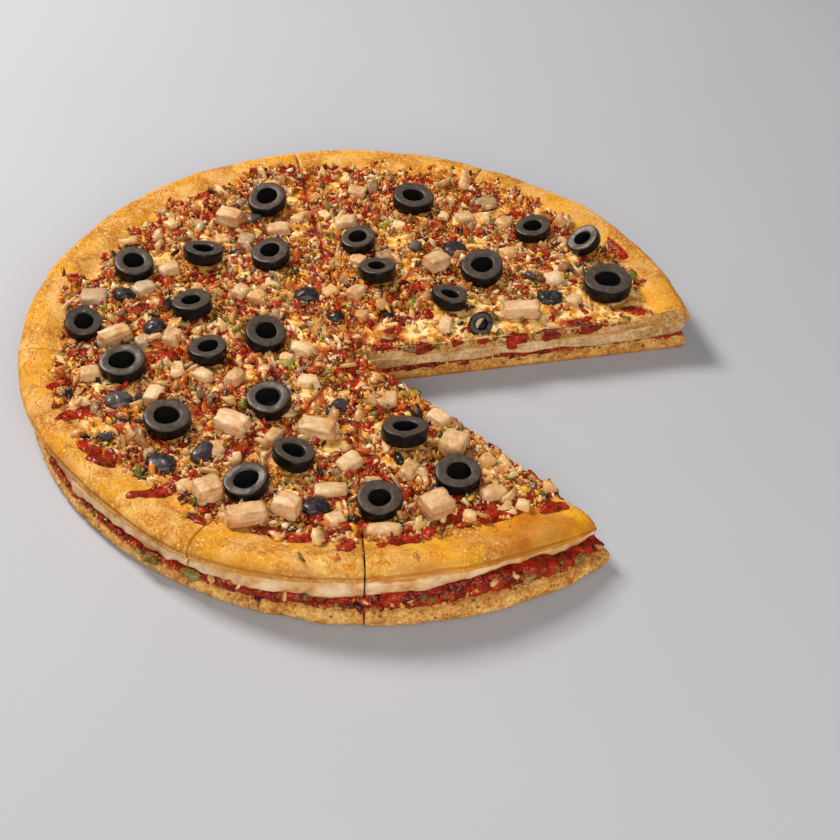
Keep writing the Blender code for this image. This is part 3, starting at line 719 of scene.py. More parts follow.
def morsel_places():
    """The seeded rule of the solids for the small morsels: x, y, sizes and turn of each."""
    taken = [(x * MM, y * MM, max(a, b, c) * MM / 2) for x, y, a, b, c, _ in
             FUSED_CHICKEN + FUSED_MUSHROOM + FUSED_OLIVE_ENDS]
    taken += [(ring["centre"][0], ring["centre"][1], ring["outer"]) for ring in olive_rings()]
    taken += [(x * MM, y * MM, length * MM / 2) for x, y, length, *_ in CHICKEN_CHUNKS]
    draw = random.Random(MORSEL_SEED)
    places = []
    while len(places) < MORSEL_COUNT:
        reach = MORSEL_REACH * math.sqrt(draw.random())
        bearing = draw.uniform(0, math.tau)
        size = [draw.uniform(*MORSEL_SIZE) for _ in range(3)]
        turn = draw.uniform(0, 180)
        x, y = reach * math.cos(bearing), reach * math.sin(bearing)
        if min(math.hypot(x - a, y - b) - r for a, b, r in taken) < MORSEL_ROOM * max(size):
            continue
        places.append((x, y, size[0], size[1], MORSEL_FLATNESS * size[2], turn))
        taken.append((x, y, max(size) / 2))
    return np.array(places)


def olive_rings():
    """Centre, axis, radius and half height of each ring's solid, which is thinnest along its axis."""
    rings = []
    for name in sorted(n for n in frame["nodes"] if n.startswith("olive_ring_")):
        mesh = frame["nodes"][name].data
        points = np.empty(len(mesh.vertices) * 3)
        mesh.vertices.foreach_get("co", points)
        points = np.unique(points.reshape(-1, 3).round(7), axis=0) - BOX_SHIFT
        centre = (points.min(axis=0) + points.max(axis=0)) / 2
        for _ in range(2):
            axis = np.linalg.svd(points - centre)[2][2]
            along = (points - centre) @ axis
            flat = points - centre - along[:, None] * axis
            centre = centre + axis * (along.min() + along.max()) / 2
        axis = axis * np.sign(axis[2])
        rings.append({
            "name": name, "centre": centre, "axis": axis,
            "outer": np.linalg.norm(flat, axis=1).max(), "half": (along.max() - along.min()) / 2,
        })
    return rings


def rgb(colour):
    """A colour as a socket takes it, opaque."""
    return (*colour[:3], 1)


def node(tree, kind, inputs=None, **settings):
    """A new node with its settings, and each input linked to a socket or given a value."""
    made = tree.nodes.new(kind)
    for key, value in settings.items():
        setattr(made, key, value)
    for key, value in (inputs or {}).items():
        if isinstance(value, bpy.types.NodeSocket):
            tree.links.new(value, made.inputs[key])
        else:
            made.inputs[key].default_value = value
    return made


def blend(tree, factor, first, second):
    """Mixes two colours by a factor."""
    return node(tree, "ShaderNodeMix", {0: factor, 6: first, 7: second}, data_type="RGBA").outputs[2]


def number(tree, operation, *values):
    """The result of a sum on values or sockets."""
    return node(tree, "ShaderNodeMath", dict(enumerate(values)), operation=operation).outputs[0]


def veil(tree, mask, share, first, second):
    """Mixes a share of the second colour into the first where the mask is 1."""
    return blend(tree, number(tree, "MULTIPLY", mask, share), first, second)


def stretch(tree, value, low, high):
    """A value from low to high brought to 0 to 1."""
    return node(tree, "ShaderNodeMapRange", {"Value": value, "From Min": low, "From Max": high},
                clamp=True).outputs["Result"]


def new_group(name, inputs, outputs):
    """An empty node group with named sockets, each a name, a kind and a default."""
    group = bpy.data.node_groups.new(name, "ShaderNodeTree")
    for label, kind, default in inputs:
        socket = group.interface.new_socket(label, in_out="INPUT", socket_type=kind)
        socket.default_value = default
    for label, kind in outputs:
        group.interface.new_socket(label, in_out="OUTPUT", socket_type=kind)
    return group, group.nodes.new("NodeGroupInput").outputs, group.nodes.new("NodeGroupOutput").inputs


def mottle_group():
    """Three colours over noise: dark where it is low, light where it is high. Scale is spots to the metre."""
    name = "Mottle"
    if name in bpy.data.node_groups:
        return bpy.data.node_groups[name]
    group, given, out = new_group(name, (
        ("Scale", "NodeSocketFloat", 200.0), ("Shift", "NodeSocketFloat", 0.0),
        ("Contrast", "NodeSocketFloat", 2.0), ("Dark", "NodeSocketColor", (0, 0, 0, 1)),
        ("Middle", "NodeSocketColor", (0.5, 0.5, 0.5, 1)), ("Light", "NodeSocketColor", (1, 1, 1, 1)),
    ), (("Color", "NodeSocketColor"), ("Value", "NodeSocketFloat")))
    place = node(group, "ShaderNodeTexCoord").outputs["Object"]
    shift = node(group, "ShaderNodeVectorMath", {0: place, 1: given["Shift"]}, operation="ADD").outputs[0]
    fog = node(group, "ShaderNodeTexNoise", {
        "Vector": shift, "Scale": given["Scale"], "Detail": 3.0, "Roughness": 0.6,
    }).outputs[0]
    spread = number(group, "MULTIPLY", number(group, "SUBTRACT", fog, 0.5), given["Contrast"])
    value = stretch(group, spread, -0.5, 0.5)
    lower = blend(group, stretch(group, value, 0.0, 0.5), given["Dark"], given["Middle"])
    both = blend(group, stretch(group, value, 0.5, 1.0), lower, given["Light"])
    group.links.new(both, out["Color"])
    group.links.new(value, out["Value"])
    return group


def specks_group():
    """Round specks of uneven size at random places: 1 in a speck and 0 between them."""
    name = "Specks"
    if name in bpy.data.node_groups:
        return bpy.data.node_groups[name]
    group, given, out = new_group(name, (
        ("Scale", "NodeSocketFloat", 300.0), ("Size", "NodeSocketFloat", 0.25),
    ), (("Mask", "NodeSocketFloat"),))
    place = node(group, "ShaderNodeTexCoord").outputs["Object"]
    cells = node(group, "ShaderNodeTexVoronoi", {"Vector": place, "Scale": given["Scale"]})
    lot = node(group, "ShaderNodeSeparateColor", {"Color": cells.outputs["Color"]}).outputs[0]
    size = number(group, "MULTIPLY", number(group, "POWER", lot, 3.0), given["Size"])
    mask = stretch(group, number(group, "SUBTRACT", size, cells.outputs["Distance"]), 0.0, 0.08)
    group.links.new(mask, out["Mask"])
    return group


def grain_group():
    """Height of a grainy surface: rounded grains of one size over softer unevenness of another."""
    name = "Grain"
    if name in bpy.data.node_groups:
        return bpy.data.node_groups[name]
    group, given, out = new_group(name, (
        ("Grain Scale", "NodeSocketFloat", 1200.0), ("Soft Scale", "NodeSocketFloat", 350.0),
        ("Softness", "NodeSocketFloat", 0.5),
    ), (("Height", "NodeSocketFloat"),))
    place = node(group, "ShaderNodeTexCoord").outputs["Object"]
    cells = node(group, "ShaderNodeTexVoronoi", {"Vector": place, "Scale": given["Grain Scale"]})
    grains = number(group, "SUBTRACT", 1.0, cells.outputs["Distance"])
    soft = node(group, "ShaderNodeTexNoise", {
        "Vector": place, "Scale": given["Soft Scale"], "Detail": 4.0, "Roughness": 0.6,
    }).outputs[0]
    share = number(group, "MULTIPLY", soft, given["Softness"])
    rest = number(group, "MULTIPLY", grains, number(group, "SUBTRACT", 1.0, given["Softness"]))
    group.links.new(number(group, "ADD", share, rest), out["Height"])
    return group


def new_finish(name, roughness, coat=0.0, soft=0.0, soft_colour=(1.0, 0.4, 0.2), shine=0.3):
    """A material with its shader: constants stand on the shader's own sockets."""
    finish = bpy.data.materials.new(name)
    finish.use_nodes = True
    tree = finish.node_tree
    shader = tree.nodes["Principled BSDF"]
    shader.inputs["Roughness"].default_value = roughness
    shader.inputs["Specular IOR Level"].default_value = shine
    shader.inputs["Coat Weight"].default_value = coat
    shader.inputs["Coat Roughness"].default_value = 0.15
    shader.inputs["Subsurface Weight"].default_value = soft
    shader.inputs["Subsurface Radius"].default_value = soft_colour
    shader.inputs["Subsurface Scale"].default_value = 1.5 * MM
    return finish, tree, shader


def mottle(tree, scale, dark, middle, light, contrast, shift=0.0):
    """The colour and the value of three colours over noise."""
    made = node(tree, "ShaderNodeGroup", {
        "Scale": scale, "Shift": shift, "Contrast": contrast,
        "Dark": rgb(dark), "Middle": rgb(middle), "Light": rgb(light),
    }, node_tree=mottle_group())
    return made.outputs["Color"], made.outputs["Value"]


def specks(tree, scale, size):
    """The mask of round specks."""
    inputs = {"Scale": scale, "Size": size}
    return node(tree, "ShaderNodeGroup", inputs, node_tree=specks_group()).outputs["Mask"]


def grain(tree, grain_scale, soft_scale, softness):
    """The height of a grainy surface."""
    inputs = {"Grain Scale": grain_scale, "Soft Scale": soft_scale, "Softness": softness}
    return node(tree, "ShaderNodeGroup", inputs, node_tree=grain_group()).outputs["Height"]


def attribute(tree, name):
    """A mark of the piece's points, as a value."""
    return node(tree, "ShaderNodeAttribute", attribute_name=name).outputs["Fac"]


def finish_with(tree, shader, colour, height=None, strength=0.5, distance=0.3 * MM):
    """Feeds a colour and, where there is one, a height for the bump to the shader."""
    tree.links.new(colour, shader.inputs["Base Color"])
    if height is not None:
        tilt = node(tree, "ShaderNodeBump", {"Strength": strength, "Distance": distance, "Height": height})
        tree.links.new(tilt.outputs["Normal"], shader.inputs["Normal"])


def cut_bread(tree, middle, light, shift):
    """Bread where it is cut: long soft stretches of three browns, with small pores over them."""
    stretches, _ = mottle(tree, 60, (0.30, 0.11, 0.016), middle, light, 3.8, shift)
    pores, _ = mottle(tree, 560, (0.16, 0.05, 0.007), (0.54, 0.30, 0.10), (0.86, 0.66, 0.38), 4.2, 47.0)
    return blend(tree, 0.4, stretches, pores)


def upper_crust_finish(looks):
    """Golden grainy rim, browner at the lip with painted shade in its crease, stained under the toppings and
    pale bread where it is cut.
    """
    finish, tree, shader = new_finish("golden_crust", 0.6, soft=0.05, shine=0.1)
    golden, _ = mottle(tree, 75, looks.rim_dark, looks.rim_golden, looks.rim_light, 3.6)
    speckle, _ = mottle(tree, 640, looks.rim_dark, looks.rim_golden, looks.rim_light, 3.8, 3.0)
    rim = blend(tree, 0.45, golden, speckle)
    cream, floury = mottle(tree, 52, looks.rim_golden, looks.rim_cream, looks.rim_cream, 4.0, 41.0)
    rim = veil(tree, stretch(tree, floury, 0.5, 0.8), 0.55, rim, cream)
    yellow, patches = mottle(tree, 38, looks.rim_golden, looks.rim_yellow, looks.rim_yellow, 4.0, 13.0)
    rim = veil(tree, stretch(tree, patches, 0.5, 0.8), 0.6, rim, yellow)
    rim = veil(tree, specks(tree, 640, 0.55), 0.5, rim, rgb((0.90, 0.62, 0.24)))
    oily, _ = mottle(tree, 60, (0.50, 0.15, 0.004), (0.72, 0.28, 0.003), (0.86, 0.46, 0.006), 3.4, 53.0)
    rim = blend(tree, attribute(tree, "oily"), rim, oily)
    # Browning of the rim, and painted shade in the lip's crease
    rim = blend(tree, attribute(tree, "toast_and_shade"), rim, rgb(looks.toast_and_shade_colour))
    bed, _ = mottle(tree, 260, (0.16, 0.010, 0.002), (0.56, 0.18, 0.015), (0.80, 0.50, 0.12), 4.2, 7.0)
    melted, _ = mottle(tree, 190, (0.54, 0.19, 0.015), looks.melted, (0.86, 0.68, 0.38), 4.2, 19.0)
    melted = veil(tree, specks(tree, 420, 0.6), 0.6, melted, rgb((0.42, 0.13, 0.01)))
    bed = blend(tree, attribute(tree, "melted"), bed, melted)
    red, _ = mottle(tree, 260, (0.05, 0.003, 0.001), looks.sauce, (0.50, 0.05, 0.006), 3.2, 23.0)
    bed = blend(tree, attribute(tree, "red"), bed, red)
    colour = blend(tree, attribute(tree, "stain"), rim, bed)
    bread = cut_bread(tree, (0.52, 0.28, 0.085), (0.84, 0.62, 0.34), 11.0)
    browned, streaky = mottle(tree, 42, BAKED_BROWN, (0.62, 0.30, 0.05), (0.72, 0.44, 0.13), 3.6, 29.0)
    bread = veil(tree, stretch(tree, streaky, 0.62, 0.2), 0.7, bread, browned)
    # Browning at the cut's ends, and painted shade of the lip's crease where it meets the cut
    bread = blend(tree, attribute(tree, "toast_and_shade"), bread, rgb((0.44, 0.15, 0.015)))
    colour = blend(tree, attribute(tree, "cut"), colour, bread)
    height = grain(tree, 1150, 420, 0.5)
    finish_with(tree, shader, colour, height, 0.7, 0.35 * MM)
    return finish


def lower_crust_finish(looks):
    """Pale baked dough with dark specks and pits, darker along its foot from browning and painted shade."""
    finish, tree, shader = new_finish("pale_crust", 0.75, soft=0.05, shine=0.12)
    dough, _ = mottle(tree, 130, BAKED_BROWN, looks.pale_crust, (0.84, 0.53, 0.19), 4.2)
    fine, _ = mottle(tree, 700, (0.28, 0.10, 0.02), looks.pale_crust, (0.86, 0.56, 0.21), 4.4, 5.0)
    colour = blend(tree, 0.45, dough, fine)
    # Browning, and painted shade at the foot
    colour = blend(tree, attribute(tree, "toast_and_shade"), colour, rgb(looks.toast_and_shade_colour))
    colour = veil(tree, specks(tree, 420, 0.45), 0.75, colour, rgb((0.12, 0.05, 0.02)))
    pits = number(tree, "MULTIPLY", specks(tree, 330, 0.42), -0.8)
    height = number(tree, "ADD", grain(tree, 1100, 380, 0.6), pits)
    finish_with(tree, shader, colour, height, 0.8, 0.4 * MM)
    return finish


def cheese_finish(looks):
    """Molten cheese: smooth, a little see-through, cream with warmer stretches."""
    finish, tree, shader = new_finish(
        "molten_cheese", 0.34, coat=0.15, soft=0.25, soft_colour=(1.0, 0.6, 0.3),
    )
    cream, _ = mottle(tree, 90, (0.58, 0.26, 0.06), looks.cheese, (0.86, 0.68, 0.45), 3.4)
    orange, _ = mottle(tree, 240, (0.46, 0.15, 0.02), looks.cheese, looks.cheese, 3.8, 9.0)
    colour = blend(tree, 0.4, cream, orange)
    baked = cut_bread(tree, (0.52, 0.29, 0.09), (0.82, 0.60, 0.33), 31.0)
    colour = veil(tree, attribute(tree, "cut"), 0.85, colour, baked)
    colour = blend(tree, attribute(tree, "edge"), colour, rgb((0.56, 0.20, 0.03)))
    finish_with(tree, shader, colour, grain(tree, 500, 160, 0.9), 0.25, 0.4 * MM)
    return finish


def sauce_finish(looks, name="wet_sauce"):
    """Glossy tomato sauce, from near-black red to bright red."""
    finish, tree, shader = new_finish(name, 0.25, soft=0.08, soft_colour=(1.0, 0.1, 0.05), shine=0.22)
    deep = tuple(0.18 * c for c in looks.sauce)
    bright = (min(1.0, 1.9 * looks.sauce[0]), 3.0 * looks.sauce[1], 1.5 * looks.sauce[2])
    colour, _ = mottle(tree, 150, deep, looks.sauce, bright, 3.4)
    pulp, _ = mottle(tree, 420, deep, (0.26, 0.020, 0.003), (0.52, 0.09, 0.008), 3.6, 37.0)
    colour = blend(tree, 0.32, colour, pulp)
    finish_with(tree, shader, colour, grain(tree, 620, 260, 0.5), 1.0, 0.8 * MM)
    return finish


def toned_finish(name, dark, middle, light, roughness=0.5, coat=0.1, soft=0.05, stained=0.3, shine=0.2):
    """Small pieces: each has its own tone of three colours, finer mottling and stains of sauce."""
    finish, tree, shader = new_finish(name, roughness, coat=coat, soft=soft, shine=shine)
    tone = attribute(tree, "tone")
    lower = blend(tree, stretch(tree, tone, 0.0, 0.5), rgb(dark), rgb(middle))
    own = blend(tree, stretch(tree, tone, 0.5, 1.0), lower, rgb(light))
    fine, _ = mottle(tree, 520, dark, middle, light, 2.6)
    colour = blend(tree, 0.35, own, fine)
    if stained:
        stain, patches = mottle(
            tree, 130, (0.36, 0.03, 0.006), (0.50, 0.10, 0.012), (0.66, 0.24, 0.03), 3.2, 17.0,
        )
        colour = veil(tree, stretch(tree, patches, 0.45, 0.85), stained, colour, stain)
    finish_with(tree, shader, colour, grain(tree, 900, 500, 0.7), 0.4, 0.25 * MM)
    return finish


def olive_finish(looks):
    """Black olive: glossy skin outside, charcoal flesh where it was cut, and near-black painted shade in the
    hole.
    """
    finish, tree, shader = new_finish("black_olive", 0.36, shine=0.2)
    flesh, _ = mottle(tree, 420, (0.040, 0.030, 0.024), looks.olive_flesh, (0.105, 0.080, 0.064), 1.8)
    skin, _ = mottle(tree, 160, (0.002, 0.002, 0.002), looks.olive_skin, (0.012, 0.010, 0.012), 2.0, 4.0)
    colour = blend(tree, attribute(tree, "skin"), flesh, skin)
    # Painted shade: the hole's wall and floor are near-black
    colour = blend(tree, attribute(tree, "hole"), colour, rgb((0.003, 0.003, 0.003)))
    # Painted highlight: a pale crescent in one half of the skinned ring's hole
    colour = blend(tree, attribute(tree, "pale"), colour, rgb((0.62, 0.46, 0.28)))
    dull = number(tree, "ADD", 0.36, number(tree, "MULTIPLY", attribute(tree, "hole"), 0.6))
    tree.links.new(dull, shader.inputs["Roughness"])
    tree.links.new(number(tree, "MULTIPLY", attribute(tree, "skin"), 0.06), shader.inputs["Coat Weight"])
    finish_with(tree, shader, colour, grain(tree, 1000, 450, 0.6), 0.3, 0.25 * MM)
    return finish


def floor_finish():
    """Pale floor with very soft mottling."""
    finish, tree, shader = new_finish("pale_floor", 0.7)
    colour, _ = mottle(tree, 3, (0.41, 0.425, 0.48), (0.43, 0.445, 0.50), (0.45, 0.465, 0.52), 1.5)
    finish_with(tree, shader, colour)
    return finish


# Chopped toppings: how many of each kind, how much they cluster, their size against the usual one, and
# their dark, middle and light colours
CRUMB_KINDS = {
    "pale": (4300, 1.1, 1.15, (0.46, 0.20, 0.05), (0.76, 0.48, 0.20), (0.95, 0.80, 0.54)),
    "tan": (2700, 0.8, 1.05, (0.14, 0.042, 0.006), (0.42, 0.16, 0.028), (0.64, 0.35, 0.10)),
    "red": (4600, 1.6, 1.05, (0.06, 0.002, 0.001), (0.32, 0.010, 0.002), (0.60, 0.04, 0.006)),
    "orange": (2500, 1.3, 1.05, (0.36, 0.06, 0.003), (0.64, 0.19, 0.012), (0.82, 0.40, 0.05)),
    "yellow": (1900, 1.2, 1.05, (0.56, 0.22, 0.012), (0.78, 0.42, 0.04), (0.88, 0.62, 0.18)),
    "green": (1500, 1.4, 1.0, (0.04, 0.032, 0.004), (0.15, 0.13, 0.012), (0.38, 0.34, 0.06)),
    "dark": (1900, 1.0, 1.0, (0.004, 0.003, 0.002), (0.018, 0.010, 0.006), (0.09, 0.045, 0.02)),
}
CHOP_KINDS = {
    "bread_coloured": (560, 0.9, 1.0, (0.40, 0.17, 0.04), (0.66, 0.39, 0.14), (0.84, 0.62, 0.32)),
    "tomato": (460, 1.2, 0.85, (0.10, 0.004, 0.001), (0.36, 0.02, 0.003), (0.62, 0.13, 0.016)),
    "mushroom": (130, 0.7, 1.1, (0.13, 0.06, 0.022), (0.34, 0.20, 0.10), (0.56, 0.41, 0.24)),
    "pepper": (120, 1.2, 0.8, (0.05, 0.05, 0.006), (0.20, 0.20, 0.02), (0.42, 0.44, 0.09)),
    "olive": (120, 0.8, 0.85, (0.004, 0.003, 0.004), (0.018, 0.015, 0.017), (0.10, 0.09, 0.09)),
}
CRUMB_SIZE = 1.3 * MM
CRUMB_SPREAD = 0.45
CRUMB_LIMITS = (0.7 * MM, 3.2 * MM)
CHOP_SIZE = 3.4 * MM
CHOP_LIMITS = (2.2 * MM, 6.0 * MM)
RIM_GRAIN_COUNT = 4500
RIM_GRAIN_SIZE = (0.3 * MM, 0.6 * MM)
CUT_CLEARANCE = 1.3 * MM

# On the two open cuts: sauce that runs down (distance from the crossing, width, height in mm), and nubs of
# cheese (distance, size, share of the height)
RIGHT_CUT_DRIPS = ((33, 8, 7), (60, 7, 4), (76, 13, 9), (93, 10, 6), (113, 11, 5), (48, 6, 4))
FRONT_CUT_DRIPS = ((30, 9, 5), (62, 8, 6), (96, 9, 5), (124, 7, 4))
CHEESE_NUBS = ((78, 4.5, 0.62), (109, 6.0, 0.66), (118, 5.0, 0.60), (135, 7.5, 0.58), (52, 4.0, 0.55))


class PanPizzaLooks(bpy.types.PropertyGroup):
    """Colours and sizes that can be changed before the pieces are made."""

    rim_golden: FloatVectorProperty(name="Golden rim", description="Middle colour of the bare rim",
                                    subtype="COLOR", default=(0.55, 0.218, 0.022), min=0, max=1)
    rim_light: FloatVectorProperty(name="Light rim", description="Lightest colour of the bare rim",
                                   subtype="COLOR", default=(0.82, 0.51, 0.13), min=0, max=1)
    rim_dark: FloatVectorProperty(name="Dark rim", description="Darkest colour of the bare rim",
                                  subtype="COLOR", default=(0.37, 0.12, 0.013), min=0, max=1)
    rim_cream: FloatVectorProperty(name="Cream rim", description="Colour of the rim's floury patches",
                                   subtype="COLOR", default=(0.78, 0.46, 0.15), min=0, max=1)
    rim_yellow: FloatVectorProperty(name="Yellow rim", description="Colour of the rim's oily patches",
                                    subtype="COLOR", default=(0.74, 0.34, 0.012), min=0, max=1)
    # Colour of browning on both crusts, also used for painted shade in the lid's crease and at the bottom
    # crust's foot
    toast_and_shade_colour: FloatVectorProperty(name="Toasted crust",
                                 description="Colour of both crusts where they are browned",
                                 subtype="COLOR", default=(0.40, 0.14, 0.025), min=0, max=1)
    pale_crust: FloatVectorProperty(name="Pale crust", description="Middle colour of the bottom crust",
                                    subtype="COLOR", default=(0.64, 0.30, 0.062), min=0, max=1)
    cheese: FloatVectorProperty(name="Cheese", description="Middle colour of the molten cheese",
                                subtype="COLOR", default=(0.70, 0.46, 0.22), min=0, max=1)
    melted: FloatVectorProperty(name="Melted cheese", description="Colour of the cheese between the toppings",
                                subtype="COLOR", default=(0.78, 0.48, 0.12), min=0, max=1)
    sauce: FloatVectorProperty(name="Sauce", description="Middle colour of the tomato sauce",
                               subtype="COLOR", default=(0.25, 0.007, 0.002), min=0, max=1)
    olive_skin: FloatVectorProperty(name="Olive skin", description="Colour of the outside of the olives",
                                    subtype="COLOR", default=(0.005, 0.004, 0.005), min=0, max=1)
    olive_flesh: FloatVectorProperty(name="Olive flesh", description="Colour of the cut faces of the olives",
                                     subtype="COLOR", default=(0.068, 0.051, 0.041), min=0, max=1)
    chicken: FloatVectorProperty(name="Chicken", description="Middle colour of the diced chicken",
                                 subtype="COLOR", default=(0.61, 0.39, 0.19), min=0, max=1)
    crumb_size: FloatProperty(name="Crumb size", description="Usual size of the chopped toppings",
                              default=CRUMB_SIZE, min=0.5 * MM, max=5 * MM, unit="LENGTH")
    crumb_share: FloatProperty(name="Crumb share", description="Share of the usual number of crumbs",
                               default=1.0, min=0.05, max=1.5, subtype="FACTOR")
    side_bits: IntProperty(name="Side bits", description="How many bits stick out of the sauce at the side",
                           default=SIDE_BIT_COUNT, min=0, max=4000)


def looks_of(context):
    """The colours and sizes that the scene holds."""
    return context.scene.pan_pizza


def layer_slices(layer):
    """Each slice's name and bearings, and its surface with marks, before relief."""
    for side, bearings in SLICES.items():
        yield f"{layer}_{side}", *slice_surface(layer, bearings, side in OPEN_SIDES)


def near_surfaces(level, high, reach, low):
    """1 at a layer's upper and lower surfaces and 0 between: the larger of two smooth steps."""
    return np.maximum(smoothstep((level - high) / reach), smoothstep((low - level) / 0.2))


def pushed(points, faces, marks, amount):
    """Moves points along their normals by an amount, less on the cuts that stay shut."""
    shut = marks["cut"] * (1 - open_cut(points))
    held = 1 - (1 - CLOSED_CUT_SHARE) * shut
    return points + point_normals(points, faces) * (amount * held)[:, None]


class PizzaPiece:
    """What the operators of the pieces share."""

    bl_options = {"REGISTER", "UNDO"}

    @classmethod
    def poll(cls, context):
        return bool(frame["nodes"])


class PIZZA_OT_lower_crust(PizzaPiece, bpy.types.Operator):
    """Make the bottom crust's slices, with pits, ragged edges and a foot darkened by browning and painted
    shade
    """

    bl_idname = "pan_pizza.lower_crust"
    bl_label = "Bottom Crust"

    def execute(self, context):
        finish = lower_crust_finish(looks_of(context))
        for name, points, faces, marks in layer_slices("lower_crust"):
            lifted = smoothstep(points[:, 2] / (1.2 * MM))
            amount = relief(points, PALE_RELIEF, 10) * lifted
            # Darker towards the foot: browning of the pan-baked base and painted shade where it meets the
            # floor
            foot = 1 - smoothstep(points[:, 2] / (2.6 * MM))
            top = smoothstep((marks["level"] - 0.85) / 0.12) * (marks["inward"] < 2.5)
            patchy = smoothstep(0.5 + 0.9 * noise(points, 9 * MM, 14))
            points = pushed(points, faces, marks, amount)
            points[:, 2] = np.maximum(points[:, 2], 0)
            on_cut = 0.3 * open_cut(points) * marks["cut"] * patchy
            toast_and_shade = np.clip(foot * (0.65 + 0.4 * patchy) + 0.35 * top * patchy + on_cut, 0, 1)
            piece = make_piece(name + "_dough", points, faces, finish, {"toast_and_shade": toast_and_shade})
            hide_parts(name)
        return {"FINISHED"}


class PIZZA_OT_sauce(PizzaPiece, bpy.types.Operator):
    """Make the layer of sauce, lumpy and glossy where it shows at the side and the cuts"""

    bl_idname = "pan_pizza.sauce"
    bl_label = "Sauce Layer"

    def execute(self, context):
        finish = sauce_finish(looks_of(context))
        for name, points, faces, marks in layer_slices("sauce"):
            sunk = 0.5 * MM * open_cut(points) * marks["cut"]
            points = pushed(points, faces, marks, relief(points, SAUCE_RELIEF, 20) + 0.2 * MM - sunk)
            piece = make_piece(name + "_layer", points, faces, finish)
            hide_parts(name)
        return {"FINISHED"}


class PIZZA_OT_cheese(PizzaPiece, bpy.types.Operator):
    """Make the layer of molten cheese, which bulges out and hangs over the sauce"""

    bl_idname = "pan_pizza.cheese"
    bl_label = "Cheese Layer"

    def execute(self, context):
        finish = cheese_finish(looks_of(context))
        for name, points, faces, marks in layer_slices("cheese"):
            on_cut = open_cut(points) * marks["cut"]
            sagging = smoothstep(0.45 + 1.1 * noise(points * (1, 1, 0.2), 10 * MM, 33)) * (1 - marks["level"])
            ends = near_surfaces(marks["level"], 0.82, 0.15, 0.22)
            edge = 0.75 * ends * smoothstep(0.4 + 1.1 * noise(points, 7 * MM, 34))
            points = pushed(points, faces, marks, relief(points, CHEESE_RELIEF, 30) + 0.7 * MM * on_cut)
            points[:, 2] -= CUT_SAG * on_cut * sagging
            own_marks = {"cut": on_cut, "edge": edge}
            piece = make_piece(name + "_layer", points, faces, finish, own_marks)
            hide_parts(name)
        return {"FINISHED"}


class PIZZA_OT_upper_crust(PizzaPiece, bpy.types.Operator):
    """Make the upper crust's slices: grainy bare rim, folded lip with painted shade in its crease, and the
    stained bed of the toppings
    """

    bl_idname = "pan_pizza.upper_crust"
    bl_label = "Upper Crust"

    def execute(self, context):
        finish = upper_crust_finish(looks_of(context))
        for name, points, faces, marks in layer_slices("upper_crust"):
            x, y = points[:, 0], points[:, 1]
            upward = smoothstep((marks["level"] - 0.7) / 0.25)
            topped = topped_share(x, y) * upward * (1 - marks["cut"])
            amount = lid_relief(points, topped)
            lip = (1 - smoothstep((marks["inward"] - 1) / 3)) * (1 - upward)
            # Painted shade: the crease of the folded lip is darkened with the browning colour
            crease_shade = np.exp(-(((marks["level"] - 0.34) / 0.07) ** 2)) * (marks["inward"] < 3)
            corner = 0.35 * bump(np.arctan2(y, x), 316, 26)
            patchy = smoothstep(0.45 + 0.9 * noise(points, 16 * MM, 55))
            spotty = smoothstep(0.5 + 1.6 * noise(points, 6 * MM, 56))
            near_border = 1 - np.abs(2 * topped_share(x, y) - 1)
            toast_and_shade = 0.25 * lip * patchy + 0.6 * crease_shade + corner * patchy + 0.16 * patchy * spotty
            toast_and_shade = np.clip(toast_and_shade, 0, 0.9)
            draped = smoothstep((marks["level"] - 0.72 + 0.3 * noise(points, 7 * MM, 57)) / 0.2)
            draped *= open_cut(points) * marks["cut"] * topped_share(x, y)
            stain = np.clip(topped + 0.6 * near_border * spotty * upward + draped, 0, 1)
            ends = near_surfaces(marks["level"], 0.78, 0.2, 0.2)
            toast_and_shade = np.maximum(toast_and_shade, 0.65 * ends * marks["cut"] * patchy)
            oily = 0.95 * bump(np.arctan2(y, x), 302, 36) * smoothstep(0.8 + 1.1 * noise(points, 12 * MM, 58))
            beside = slice_of(x, y)[0]
            groove = 0.85 * (1 - smoothstep((beside - 1 * MM) / (2 * MM))) * (marks["cut"] < 0.5)
            red = np.clip(np.maximum(near_streaks(x, y), groove * (1 - open_cut(points))), 0, 1)
            points = pushed(points, faces, marks, amount)
            piece = make_piece(name + "_dough", points, faces, finish, {
                "toast_and_shade": toast_and_shade, "stain": stain, "cut": marks["cut"] * (1 - draped),
                "melted": melted_share(x, y), "red": red, "oily": oily,
            })
            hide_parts(name)
        return {"FINISHED"}


